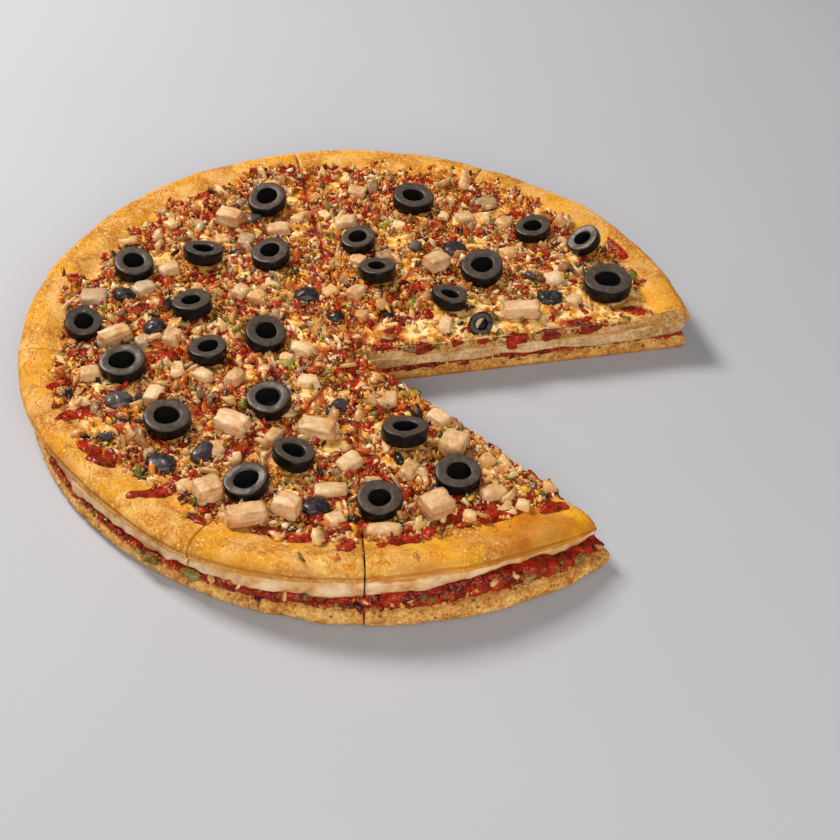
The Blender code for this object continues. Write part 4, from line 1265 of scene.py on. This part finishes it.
def ring_surface(ring, draw):
    """A slice of olive as a surface of angle and outline, cup-shaped with a floor in its hole, whose floor
    and wall carry near-black painted shade.

    The outline runs from the middle of the hole's floor up the hole's wall, over the cut face, down the
    bulged skin and under it to the middle. Radius, hole and height each vary slowly with the angle.
    """
    outer, half = ring["outer"], ring["half"]
    bore = draw.uniform(0.48, 0.56)
    outline = np.array([
        (0, -0.72), (0.7 * bore, -0.72), (bore, -0.5), (bore, 0.6), (bore + 0.02, 0.9), (bore + 0.07, 0.97),
        (0.80, 1.0), (0.92, 0.97), (0.98, 0.85), (1.0, 0.5), (1.0, -0.4), (0.95, -0.85), (0.8, -1.0),
        (0.4, -1.0), (0, -1.0),
    ])
    line = smooth_line(outline, RING_STEPS * (len(outline) - 1) // 2)
    line[0, 0] = line[-1, 0] = 0
    line[:, 0] = np.maximum(line[:, 0], 0)
    angle = math.tau * np.arange(RING_AROUND) / RING_AROUND
    phase = draw.uniform(0, math.tau, 4)
    swing = 1 + 0.035 * np.cos(2 * angle + phase[0]) + 0.02 * np.cos(3 * angle + phase[1])
    tall = 1 + 0.10 * np.cos(angle + phase[2])
    shift = 0.05 * outer * np.array([math.cos(phase[3]), math.sin(phase[3])])
    radius = outer * line[:, 0][None, :] * swing[:, None]
    inner = ((line[:, 0] < bore + 0.02) & (line[:, 1] > -0.86))[None, :]
    up = line[:, 1][None, :] * half * np.where(line[:, 1] > 0, tall[:, None], 1.0)
    across = radius * np.cos(angle)[:, None] + inner * shift[0]
    along = radius * np.sin(angle)[:, None] + inner * shift[1]
    points = np.stack([across, along, up], axis=-1)
    points[:, 0] = points[:, 0].mean(axis=0)
    points[:, -1] = points[:, -1].mean(axis=0)
    outside = (line[:, 0] > 0.955) | (line[:, 1] < -0.86)
    # Marks the hole's wall and floor for near-black painted shade
    hole_shade = (line[:, 0] < bore + 0.03) & (line[:, 1] > -0.86) & (line[:, 1] < 0.8)
    marks = {
        "skin": np.tile(outside * 1.0, RING_AROUND),
        "hole": np.tile(hole_shade * 1.0, RING_AROUND),
    }
    return points.reshape(-1, 3), grid_faces(RING_AROUND, len(line), closed=True), marks


class PIZZA_OT_olive_rings(PizzaPiece, bpy.types.Operator):
    """Make the slices of black olive, each a little out of round, with glossy skin and dull cut faces"""

    bl_idname = "pan_pizza.olive_rings"
    bl_label = "Olive Rings"

    def execute(self, context):
        finish = olive_finish(looks_of(context))
        for count, ring in enumerate(olive_rings()):
            draw = np.random.default_rng(300 + count)
            points, faces, marks = ring_surface(ring, draw)
            up = ring["axis"]
            ahead = np.cross(up, (0.3, 0.9, 0.2))
            ahead /= np.linalg.norm(ahead)
            turn = np.stack([ahead, np.cross(up, ahead), up], axis=1)
            points, faces, marks = weld(points, faces[:, ::-1], marks)
            wrinkled = 3.0 if ring["name"] == WRINKLED_RING else 1.0
            all_skin = ring["name"] == SKINNED_RING
            # Painted highlight: a pale crescent on one half of the hole of the ring that lies skin up
            marks["pale"] = marks["hole"] * (points[:, 0] > 0) * all_skin
            marks["skin"] = np.maximum(marks["skin"], all_skin)
            dents = wrinkled * relief(points, ((0.25 * MM, 4 * MM), (0.09 * MM, 1.5 * MM)), 80 + count)
            points = points + point_normals(points, faces) * dents[:, None]
            points = points @ turn.T + ring["centre"]
            piece = make_piece(ring["name"] + "_slice", points, faces, finish, marks)
            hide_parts(ring["name"])
        return {"FINISHED"}


def table_columns(table):
    """Places in metres, sizes in metres and turns of a table of toppings."""
    rows = np.array(table, float)
    return rows[:, 0] * MM, rows[:, 1] * MM, rows[:, 2:5] * MM, rows[:, 5]


class PIZZA_OT_chicken(PizzaPiece, bpy.types.Operator):
    """Make the larger dice of chicken where their solids lie"""

    bl_idname = "pan_pizza.chicken"
    bl_label = "Diced Chicken"

    def execute(self, context):
        looks = looks_of(context)
        pale = tuple(min(1, 1.15 * c + 0.12) for c in looks.chicken)
        seared = (0.52 * looks.chicken[0], 0.36 * looks.chicken[1], 0.22 * looks.chicken[2])
        finish = toned_finish("diced_chicken", seared, looks.chicken, pale, 0.42, 0.03, 0.1, 0.35, 0.3)
        x, y, sizes, turns = table_columns(CHICKEN_CHUNKS)
        for count in range(len(x)):
            node_name = f"chicken_chunk_{count + 1:02d}"
            low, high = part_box(node_name)
            centre = np.array([[x[count], y[count], (low.z + high.z) / 2]])
            own = slice(count, count + 1)
            frames = lying_frames(x[own], y[own], turns[own])
            points, faces, _ = lumps(
                centre, sizes[own], frames, *CHUNK_GRID, CHUNK_SQUARENESS, 0.11, 500 + count,
            )
            fibres = (points - centre) @ frames[0] * (0.22, 1, 1) + count * 0.1
            amount = relief(fibres, ((0.3 * MM, 1.6 * MM), (0.2 * MM, 0.7 * MM)), 90)
            points = points + point_normals(points, faces) * amount[:, None]
            own_tone = np.random.default_rng(540 + count).uniform(0.45, 0.9)
            within = np.sort(np.abs((points - centre) @ frames[0]) / (sizes[count] / 2), axis=1)
            browned = 0.6 * smoothstep((within[:, 1] - 0.62) / 0.3) * (0.6 + 0.6 * noise(points, 3 * MM, 93))
            tone = own_tone - browned + 0.35 * noise(points, 4 * MM, 91) + 0.2 * noise(fibres, 1.2 * MM, 92)
            tone = np.clip(tone, 0, 1)
            piece = make_piece(node_name + "_dice", points, faces, finish, {"tone": tone})
            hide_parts(node_name)
        return {"FINISHED"}


def sunk_lumps(table, square, uneven, lift, seed):
    """Toppings sunk into the upper crust, their middles lifted above it by a share of their height."""
    x, y, sizes, turns = table_columns(table)
    beside, in_gap = slice_of(x, y)
    kept = ~in_gap | (beside < 0.3 * sizes[:, 0])
    x, y, sizes, turns = x[kept], y[kept], sizes[kept], turns[kept]
    height = layer_heights(x, y)[3] + lift * sizes[:, 2]
    centres = np.stack([x, y, height], axis=1)
    return lumps(centres, sizes, lying_frames(x, y, turns), *TOPPING_GRID, square, uneven, seed)


def replace_lids(piece):
    """The small toppings stand for what is fused to the upper crust's solids."""
    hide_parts(*(f"upper_crust_{side}" for side in SLICES))


class PIZZA_OT_small_toppings(PizzaPiece, bpy.types.Operator):
    """Make the smaller dice of chicken, the mushroom, the olive ends and the morsels between them"""

    bl_idname = "pan_pizza.small_toppings"
    bl_label = "Small Toppings"

    def execute(self, context):
        looks = looks_of(context)
        lift = 0.5 - SUNK_SHARE
        morsels = morsel_places()
        morsels[:, :5] /= MM
        kinds = {
            "chicken_dice": (FUSED_CHICKEN, FUSED_SQUARENESS, 0.13, lift, (0.36, 0.16, 0.05), looks.chicken,
                             (0.86, 0.68, 0.42), 0.5, 0.1),
            "mushroom_bits": (FUSED_MUSHROOM, FUSED_SQUARENESS, 0.12, lift, (0.15, 0.085, 0.045),
                              (0.40, 0.27, 0.15), (0.60, 0.45, 0.29), 0.45, 0.15),
            "olive_ends": (FUSED_OLIVE_ENDS, 0.25, 0.16, lift, (0.004, 0.003, 0.005), (0.020, 0.016, 0.019),
                           (0.20, 0.15, 0.14), 0.36, 0.15),
            "morsels": (morsels, FUSED_SQUARENESS, 0.18, MORSEL_LIFT / MORSEL_FLATNESS, (0.44, 0.18, 0.05),
                        (0.66, 0.40, 0.16), (0.84, 0.62, 0.34), 0.5, 0.1),
        }
        for seed, (name, values) in enumerate(kinds.items()):
            table, square, uneven, raised, dark, middle, light, rough, coat = values
            points, faces, each = sunk_lumps(table, square, uneven, raised, 600 + seed)
            points = points + point_normals(points, faces) * (0.2 * MM * noise(points, 1.4 * MM, 95))[:, None]
            own = np.random.default_rng(610 + seed).uniform(0.3, 0.95, len(points) // each)
            tone = np.clip(np.repeat(own, each) + 0.25 * noise(points, 4 * MM, 96), 0, 1)
            is_olive = name == "olive_ends"
            finish = toned_finish(name, dark, middle, light, rough, coat, 0.1, 0.0 if is_olive else 0.3)
            piece = make_piece(name, cut_flush(points), faces, finish, {"tone": tone})
            replace_lids(piece)
        return {"FINISHED"}


def draped(patches, grid, seed):
    """Flat blobs that follow the upper crust: a ball's outline made ragged, its height added to the lid's."""
    shape, faces = ball(*grid)
    table = np.array(patches, float)
    count = len(table)
    draw = np.random.default_rng(seed)
    spots = shape[None] * (1, 1, 0.2) + draw.uniform(0, 300, (count, 1, 3))
    spots = spots.reshape(-1, 3)
    ragged = 1 + (0.42 * noise(spots, 0.8) + 0.25 * noise(spots, 0.32)).reshape(count, -1)
    turn = np.radians(table[:, 4])[:, None]
    long = shape[None, :, 0] * ragged * table[:, 2:3] * MM / 2
    wide = shape[None, :, 1] * ragged * table[:, 3:4] * MM / 2
    x = table[:, 0:1] * MM + long * np.cos(turn) - wide * np.sin(turn)
    y = table[:, 1:2] * MM + long * np.sin(turn) + wide * np.cos(turn)
    flat = np.stack([x.ravel(), y.ravel()], axis=1)
    thick = np.tile(shape[:, 2], count) * np.repeat(table[:, 5], len(shape)) * MM / 2
    thin = 0.7 * melted_share(flat[:, 0], flat[:, 1])
    z = lid_top(flat[:, 0], flat[:, 1]) + thick * (1 - thin) - 0.2 * MM * thin
    points = np.column_stack([flat, z])
    lump = relief(points, ((0.5 * MM, 3.2 * MM), (0.3 * MM, 1.6 * MM)), seed)
    points[:, 2] += lump * np.tile(shape[:, 2] > 0, count)
    return points, copies(faces, len(shape), count)


def wall_frame(side):
    """An open cut as a start point, a direction along it, the way out of it and its turn in space."""
    is_start = side == "right"
    b = math.radians(SLICES[side][0 if is_start else 1])
    along = np.array([math.cos(b), math.sin(b), 0])
    out = np.array([math.sin(b), -math.cos(b), 0]) * (1 if is_start else -1)
    start = np.array([*CROSSING, 0]) - out * KERF / 2
    return start, along, out


def on_wall(side, distance, share, sink=0.0):
    """Points on an open cut: a distance from the crossing, and a share of the lid's height."""
    start, along, out = wall_frame(side)
    flat = start + distance[:, None] * along - out * sink
    flat[:, 2] = share * layer_heights(flat[:, 0], flat[:, 1])[3]
    return flat


class PIZZA_OT_sauce_on_top(PizzaPiece, bpy.types.Operator):
    """Make the streaks and spots of sauce between the toppings, and what runs down the open cuts"""

    bl_idname = "pan_pizza.sauce_on_top"
    bl_label = "Sauce On Top"

    def execute(self, context):
        finish = sauce_finish(looks_of(context), "sauce_on_top")
        draw = np.random.default_rng(700)
        streaks = np.array([(*streak, STREAK_HEIGHT / MM) for streak in SAUCE_STREAKS])
        points, faces = draped(streaks, STREAK_GRID, 701)
        replace_lids(make_piece("sauce_streaks", cut_flush(points), faces, finish))
        spots = []
        for _ in range(SAUCE_SPOT_COUNT):
            reach = 140 * math.sqrt(draw.random())
            bearing = draw.uniform(0, math.tau)
            length = draw.uniform(3, 9)
            spots.append((reach * math.cos(bearing), reach * math.sin(bearing), length,
                          length * draw.uniform(0.5, 0.9), draw.uniform(0, 90), draw.uniform(1.2, 2.4)))
        table = np.array(spots)
        _, in_gap = slice_of(table[:, 0] * MM, table[:, 1] * MM)
        inside = topped_share(table[:, 0] * MM, table[:, 1] * MM) > 0.45
        points, faces = draped(table[~in_gap & inside], SPOT_GRID, 703)
        replace_lids(make_piece("sauce_spots", cut_flush(points), faces, finish))
        for side, drips in (("right", RIGHT_CUT_DRIPS), ("front_right", FRONT_CUT_DRIPS)):
            rows = np.array(drips, float) * MM
            _, along, _ = wall_frame(side)
            centres = on_wall(side, rows[:, 0], np.ones(len(rows)), 0.2 * MM)
            centres[:, 2] -= 0.42 * rows[:, 2]
            sizes = np.stack([rows[:, 1], np.full(len(rows), 1.8 * MM), rows[:, 2]], axis=1)
            turn = np.stack([along, np.cross((0, 0, 1), along), np.array([0, 0, 1])], axis=1)
            turns = np.repeat(turn[None], len(rows), axis=0)
            points, faces, _ = lumps(centres, sizes, turns, *DRIP_GRID, 0, 0.4, 702)
            piece = make_piece(f"sauce_drips_{side}", points, faces, finish)
            replace_lids(piece)
        return {"FINISHED"}


def scatter(count, seed, outer):
    """Random places spread evenly over a disc: the square root of a random number as the reach."""
    draw = np.random.default_rng(seed)
    reach = outer * np.sqrt(draw.random(count))
    bearing = draw.uniform(0, math.tau, count)
    return reach * np.cos(bearing), reach * np.sin(bearing)


def oval_square(x, y, middle, halves, turn):
    """Squared distance from an oval's middle, in shares of its half length and its half width."""
    t = math.radians(turn)
    east, north = x - middle[0] * MM, y - middle[1] * MM
    long = (east * math.cos(t) + north * math.sin(t)) / halves[0]
    wide = (north * math.cos(t) - east * math.sin(t)) / halves[1]
    return long ** 2 + wide ** 2


def clear_of_toppings(x, y):
    """False where an olive ring or a larger topping already lies."""
    clear = np.ones(len(x), bool)
    for ring in olive_rings():
        clear &= np.hypot(x - ring["centre"][0], y - ring["centre"][1]) > 0.97 * ring["outer"]
    for table, share in ((CHICKEN_CHUNKS, 0.72), (FUSED_CHICKEN, 0.66), (FUSED_MUSHROOM, 0.75),
                         (FUSED_OLIVE_ENDS, 0.9)):
        for px, py, length, width, _, turn in table:
            halves = (length * MM / 2, width * MM / 2)
            clear &= oval_square(x, y, (px, py), halves, turn) > share ** 2
    return clear


def cut_flush(points):
    """Moves points that stick out into the gap back to the nearer of its two cuts."""
    inside = slice_of(points[:, 0], points[:, 1])[1]
    past, ways = [], []
    for side in OPEN_SIDES:
        start, _, out = wall_frame(side)
        past.append((points - start) @ out)
        ways.append(out)
    first = (past[0] < past[1])[:, None]
    way = np.where(first, ways[0], ways[1])
    far = np.maximum(np.where(first[:, 0], past[0], past[1]) - 0.3 * MM, 0) * inside
    return points - far[:, None] * way


def near_streaks(x, y):
    """1 in the middle of a streak of sauce, falling to 0 beside it."""
    near = np.zeros(len(x))
    for px, py, length, width, turn in SAUCE_STREAKS:
        halves = (0.6 * length * MM, 0.6 * width * MM)
        away = np.sqrt(oval_square(x, y, (px, py), halves, turn))
        near = np.maximum(near, 1 - smoothstep(away - 0.4))
    return near


class PIZZA_OT_crumbs(PizzaPiece, bpy.types.Operator):
    """Scatter the chopped toppings: one piece for each kind, in clusters of like colour"""

    bl_idname = "pan_pizza.crumbs"
    bl_label = "Crumbs"

    def execute(self, context):
        looks = looks_of(context)
        usual = {"size": looks.crumb_size, "limits": CRUMB_LIMITS, "shape": (3, 5, 0.5, 0.5), "over_cuts": 30,
                 "border": -1.0, "flat": 0.6, "long": 1.7}
        for seed, (kind, values) in enumerate(CRUMB_KINDS.items()):
            self.scatter_kind("crumbs_" + kind, values, usual, looks, 800 + 10 * seed)
        usual = {"size": CHOP_SIZE, "limits": CHOP_LIMITS, "shape": (5, 8, 0.6, 0.5), "over_cuts": 40,
                 "border": 0.6, "flat": 0.45, "long": 1.15}
        for seed, (kind, values) in enumerate(CHOP_KINDS.items()):
            self.scatter_kind("chopped_" + kind, values, usual, looks, 1000 + 10 * seed)
        self.rim_grains(looks)
        return {"FINISHED"}

    def scatter_kind(self, name, values, usual, looks, seed):
        """Chooses places by how well they suit the kind: its own noise, the sauce and room to lie."""
        count, clustering, bigger, dark, middle, light = values
        count = int(count * looks.crumb_share)
        x, y = scatter(5 * count, seed, 151 * MM)
        draw = np.random.default_rng(seed + 1)
        spots = on_floor(x, y)
        crowd = noise(spots, 13 * MM, seed + 2) + 0.8 * noise(spots, 5 * MM, seed + 3)
        streak = near_streaks(x, y)
        is_red = "red" in name or "tomato" in name
        wish = np.exp(1.8 * clustering * crowd) * (1 + 1.5 * streak if is_red else 1 - 0.85 * streak)
        topped = topped_share(x, y)
        wish *= (topped + 0.002) * (1 - 0.96 * melted_share(x, y))
        wish *= topped > usual["border"]
        beside, in_gap = slice_of(x, y)
        wish *= ~in_gap & (beside > CUT_CLEARANCE) & clear_of_toppings(x, y)
        wish *= np.hypot(x, y) < upper_edge(np.arctan2(y, x)) - 5 * MM
        chosen = draw.choice(len(x), count, replace=False, p=wish / wish.sum())
        x, y = x[chosen], y[chosen]
        size = usual["size"] * bigger * np.exp(CRUMB_SPREAD * draw.normal(size=count))
        size = np.clip(size, *usual["limits"])
        sizes = size[:, None] * draw.uniform(0.6, 1.4, (count, 3)) * (usual["long"], 0.95, usual["flat"])
        z = lid_top(x, y) + size * draw.uniform(-0.2, 0.4, count)
        centres = np.column_stack([x, y, z])
        walls = self.on_cuts(draw, size[: count // usual["over_cuts"]])
        centres[: len(walls)] = walls
        frames = random_frames(count, seed + 4)
        points, faces, each = lumps(centres, sizes, frames, *usual["shape"], seed + 5)
        tone = np.repeat(draw.random(count), each)
        finish = toned_finish(name, dark, middle, light, 0.32, 0.03, 0.0, 0.5, 0.3)
        piece = make_piece(name, cut_flush(points), faces, finish, {"tone": tone}, smooth=False)
        replace_lids(piece)

    @staticmethod
    def on_cuts(draw, size):
        """Some of the crumbs hang over the upper edge of the two open cuts."""
        half = len(size) // 2
        places = []
        for side, own in zip(OPEN_SIDES, (size[:half], size[half:])):
            distance = draw.uniform(4 * MM, 132 * MM, len(own))
            at = on_wall(side, distance, np.ones(len(own)), 0)
            _, _, out = wall_frame(side)
            fallen = np.abs(draw.normal(0, 1.5 * MM, len(own)))
            at[:, 2] = lid_top(at[:, 0], at[:, 1]) - fallen
            at += out * (own * draw.uniform(-0.3, 0.25, len(own)))[:, None]
            keep = topped_share(at[:, 0], at[:, 1]) > 0.3
            places.append(at[keep])
        return np.concatenate(places)

    @staticmethod
    def rim_grains(looks):
        """Fine golden grains on the bare rim, which catch the light."""
        x, y = scatter(9 * RIM_GRAIN_COUNT, 880, 152 * MM)
        draw = np.random.default_rng(881)
        beside, in_gap = slice_of(x, y)
        inward = upper_edge(np.arctan2(y, x)) - np.hypot(x, y)
        fit = ~in_gap & (beside > CUT_CLEARANCE) & (inward > 3.5 * MM) & (topped_share(x, y) < 0.3)
        x, y = x[fit][:RIM_GRAIN_COUNT], y[fit][:RIM_GRAIN_COUNT]
        count = len(x)
        size = draw.uniform(*RIM_GRAIN_SIZE, count)
        sizes = size[:, None] * draw.uniform(0.75, 1.3, (count, 3))
        centres = np.column_stack([x, y, lid_top(x, y) - 0.3 * size])
        points, faces, each = lumps(centres, sizes, random_frames(count, 882), *GRAIN_GRID, 0.1, 0.2, 883)
        tone = np.repeat(draw.uniform(0.6, 1, count), each)
        tones = (looks.rim_dark, looks.rim_golden, looks.rim_light)
        finish = toned_finish("rim_grains", *tones, 0.5, 0.05, 0.05, 0.0)
        piece = make_piece("rim_grains", points, faces, finish, {"tone": tone})
        replace_lids(piece)


class PIZZA_OT_side_bits(PizzaPiece, bpy.types.Operator):
    """Make the bits that stick out of the sauce at the side and the cuts, and the nubs of cheese"""

    bl_idname = "pan_pizza.side_bits"
    bl_label = "Bits At The Side"

    def execute(self, context):
        looks = looks_of(context)
        draw = np.random.default_rng(900)
        count = looks.side_bits
        bearing = np.radians(draw.uniform(SLICES["right"][0], SLICES["front_right"][1], count))
        size = np.clip(1.5 * MM * np.exp(0.4 * draw.normal(size=count)), 0.7 * MM, 3.4 * MM)
        share = draw.uniform(0.15, 0.95, count)
        centres = self.in_sauce(bearing, share, size * draw.uniform(-0.2, 0.2, count))
        kept = ~slice_of(centres[:, 0], centres[:, 1])[1]
        centres, size, count = centres[kept], size[kept], kept.sum()
        cut_count = count // 5
        for side in OPEN_SIDES:
            distance = draw.uniform(8 * MM, 150 * MM, cut_count)
            at = on_wall(side, distance, np.ones(cut_count), 0.5 * MM)
            crust, sauce, _, _ = layer_heights(at[:, 0], at[:, 1])
            at[:, 2] = crust + (sauce - crust) * draw.uniform(0, 1, cut_count)
            inside = np.hypot(at[:, 0], at[:, 1]) < sauce_edge(np.arctan2(at[:, 1], at[:, 0])) - 2 * MM
            centres = np.vstack([centres, at[inside]])
        size = np.concatenate([size, np.clip(draw.normal(1.1, 0.35, len(centres) - count), 0.6, 2.0) * MM])
        sizes = size[:, None] * draw.uniform(0.5, 1.4, (len(size), 3)) * (1.3, 1.0, 0.7)
        lot = draw.random(len(size))
        kinds = (
            ("side_bits_red", 0.0, 0.62, (0.10, 0.005, 0.002), (0.36, 0.02, 0.005), (0.60, 0.10, 0.02)),
            ("side_bits_maroon", 0.62, 0.76, (0.02, 0.003, 0.004), (0.08, 0.010, 0.010), (0.2, 0.03, 0.03)),
            ("side_bits_pale", 0.76, 0.91, (0.46, 0.17, 0.04), (0.68, 0.36, 0.11), (0.84, 0.60, 0.30)),
            ("side_bits_green", 0.91, 1.0, (0.04, 0.035, 0.006), (0.15, 0.13, 0.02), (0.40, 0.34, 0.09)),
        )
        for seed, (name, low, high, dark, middle, light) in enumerate(kinds):
            own = (lot >= low) & (lot < high)
            spots, own_sizes = centres[own], sizes[own]
            if name == "side_bits_green":
                large = np.array(GREEN_SIDE_BITS)
                spots = np.vstack([spots, self.in_sauce(np.radians(large[:, 0]), large[:, 1], 0.6 * MM)])
                own_sizes = np.vstack([own_sizes, large[:, 2:3] * MM * (1.0, 0.5, 0.42)])
            frames = random_frames(len(spots), 910 + seed)
            if name == "side_bits_green":
                frames[-len(GREEN_SIDE_BITS):] = self.facing_out(np.radians(large[:, 0]))
            points, faces, each = lumps(spots, own_sizes, frames, *SIDE_BIT_GRID, 0.4, 0.6, 920 + seed)
            tone = np.repeat(draw.random(len(spots)), each)
            finish = toned_finish(name, dark, middle, light, 0.36, 0.2, 0.05, 0.35)
            piece = make_piece(name, points, faces, finish, {"tone": tone})
            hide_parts(*(f"sauce_{side}" for side in SLICES))
        self.cheese_nubs(looks)
        return {"FINISHED"}

    @staticmethod
    def in_sauce(bearing, share, out):
        """Places at the side: on the sauce's edge, a share of the way from the crust to the cheese."""
        reach = sauce_edge(bearing) + out
        x, y = reach * np.cos(bearing), reach * np.sin(bearing)
        crust, sauce, _, _ = layer_heights(x, y)
        return np.column_stack([x, y, crust + (sauce - crust) * share])

    @staticmethod
    def facing_out(bearing):
        """Turns whose first axis runs round the side and whose second points out of it."""
        east = np.stack([-np.sin(bearing), np.cos(bearing), 0 * bearing], axis=1)
        out = np.stack([np.cos(bearing), np.sin(bearing), 0 * bearing], axis=1)
        return np.stack([east, out, np.cross(east, out)], axis=2)

    @staticmethod
    def cheese_nubs(looks):
        """Nubs of cheese left on the cut from which the missing slice was drawn away."""
        finish = cheese_finish(looks)
        rows = np.array(CHEESE_NUBS, float)
        centres = on_wall("front_right", rows[:, 0] * MM, rows[:, 2], 0.4 * MM)
        _, along, out = wall_frame("front_right")
        turn = np.stack([along, out, np.cross(along, out)], axis=1)
        sizes = rows[:, 1:2] * MM * (1.3, 0.9, 1.0)
        turns = np.repeat(turn[None], len(rows), axis=0)
        points, faces, _ = lumps(centres, sizes, turns, *NUB_GRID, 0, 0.2, 930)
        piece = make_piece("cheese_nubs", points, faces, finish)
        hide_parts("cheese_front_right")


class PIZZA_OT_stage(bpy.types.Operator):
    """Lay the pale floor and set the soft lights and the camera"""

    bl_idname = "pan_pizza.stage"
    bl_label = "Stage"
    bl_options = {"REGISTER", "UNDO"}

    def execute(self, context):
        self.floor()
        self.lights(context.scene)
        self.camera(context.scene)
        return {"FINISHED"}

    @staticmethod
    def floor():
        """A flat square: x and y from -2 m to 2 m at the height that the pizza rests on."""
        side = np.linspace(-2, 2, 5)
        x, y = np.meshgrid(side, side, indexing="ij")
        points = np.column_stack([x.ravel(), y.ravel(), np.full(x.size, -0.05 * MM)])
        mesh = bpy.data.meshes.new("floor")
        mesh.from_pydata(points.tolist(), [], grid_faces(5, 5)[:, ::-1].tolist())
        mesh.materials.append(floor_finish())
        made = bpy.data.objects.new("floor", mesh)
        bpy.context.scene.collection.objects.link(made)

    @staticmethod
    def lights(scene):
        """A soft key light from the back left, a weaker one from the front, and a pale sky."""
        for name, place, power, size in (
            ("key_light", (-0.75, 0.55, 1.0), 21, 0.38),
            ("front_light", (0.25, -1.1, 0.7), 12, 0.8),
        ):
            lamp = bpy.data.lights.new(name, "AREA")
            lamp.energy = power
            lamp.size = size
            lamp.color = (1.0, 0.94, 0.86)
            made = bpy.data.objects.new(name, lamp)
            made.location = place
            made.rotation_euler = (-Vector(place)).to_track_quat("-Z", "Y").to_euler()
            scene.collection.objects.link(made)
        world = bpy.data.worlds.new("soft_sky")
        world.use_nodes = True
        sky = world.node_tree.nodes["Background"]
        sky.inputs["Color"].default_value = (1.0, 0.97, 0.94, 1)
        sky.inputs["Strength"].default_value = 0.2
        scene.world = world
        scene.view_settings.view_transform = "Standard"

    @staticmethod
    def camera(scene):
        """Looks at its target from the front at the photograph's height angle, turned by a small roll."""
        tall = math.radians(CAMERA_HEIGHT_ANGLE)
        back = Vector((0, -math.cos(tall), math.sin(tall)))
        lens = bpy.data.cameras.new("camera")
        lens.sensor_width = SENSOR
        lens.lens = SENSOR * FOCAL_PIXELS / PICTURE_SIDE
        lens.clip_start = 0.01
        made = bpy.data.objects.new("camera", lens)
        right, up = Vector((1, 0, 0)), Vector((0, math.sin(tall), math.cos(tall)))
        roll = math.radians(CAMERA_ROLL)
        across = math.cos(roll) * right + math.sin(roll) * up
        upward = -math.sin(roll) * right + math.cos(roll) * up
        turn = Matrix((across, upward, back)).transposed().to_4x4()
        place = Vector(CAMERA_TARGET) + Vector(BOX_SHIFT) + CAMERA_DISTANCE * back
        made.matrix_world = Matrix.Translation(place) @ turn
        scene.collection.objects.link(made)
        scene.camera = made


PIECES = (
    PIZZA_OT_lower_crust, PIZZA_OT_sauce, PIZZA_OT_cheese, PIZZA_OT_upper_crust, PIZZA_OT_chicken,
    PIZZA_OT_small_toppings, PIZZA_OT_olive_rings, PIZZA_OT_sauce_on_top, PIZZA_OT_crumbs, PIZZA_OT_side_bits,
    PIZZA_OT_stage,
)


class PIZZA_PT_panel(bpy.types.Panel):
    """Lists the pieces in the order that they are made, and the values that can be changed"""

    bl_idname = "PIZZA_PT_panel"
    bl_label = "Pan Pizza"
    bl_space_type = "VIEW_3D"
    bl_region_type = "UI"
    bl_category = "Pan Pizza"

    def draw(self, context):
        for name in PanPizzaLooks.__annotations__:
            self.layout.prop(looks_of(context), name)
        for piece in PIECES:
            self.layout.operator(piece.bl_idname)


CLASSES = (PanPizzaLooks, *PIECES, PIZZA_PT_panel)


def register():
    """Adds the classes, and the values that the scene holds."""
    for made in CLASSES:
        bpy.utils.register_class(made)
    bpy.types.Scene.pan_pizza = PointerProperty(type=PanPizzaLooks)


def unregister():
    """Takes away what register added."""
    del bpy.types.Scene.pan_pizza
    for made in reversed(CLASSES):
        bpy.utils.unregister_class(made)


def main():
    """Makes the pieces in order."""
    register()
    for piece in PIECES:
        group, name = piece.bl_idname.split(".")
        getattr(getattr(bpy.ops, group), name)()


if __name__ == "__main__":
    main()
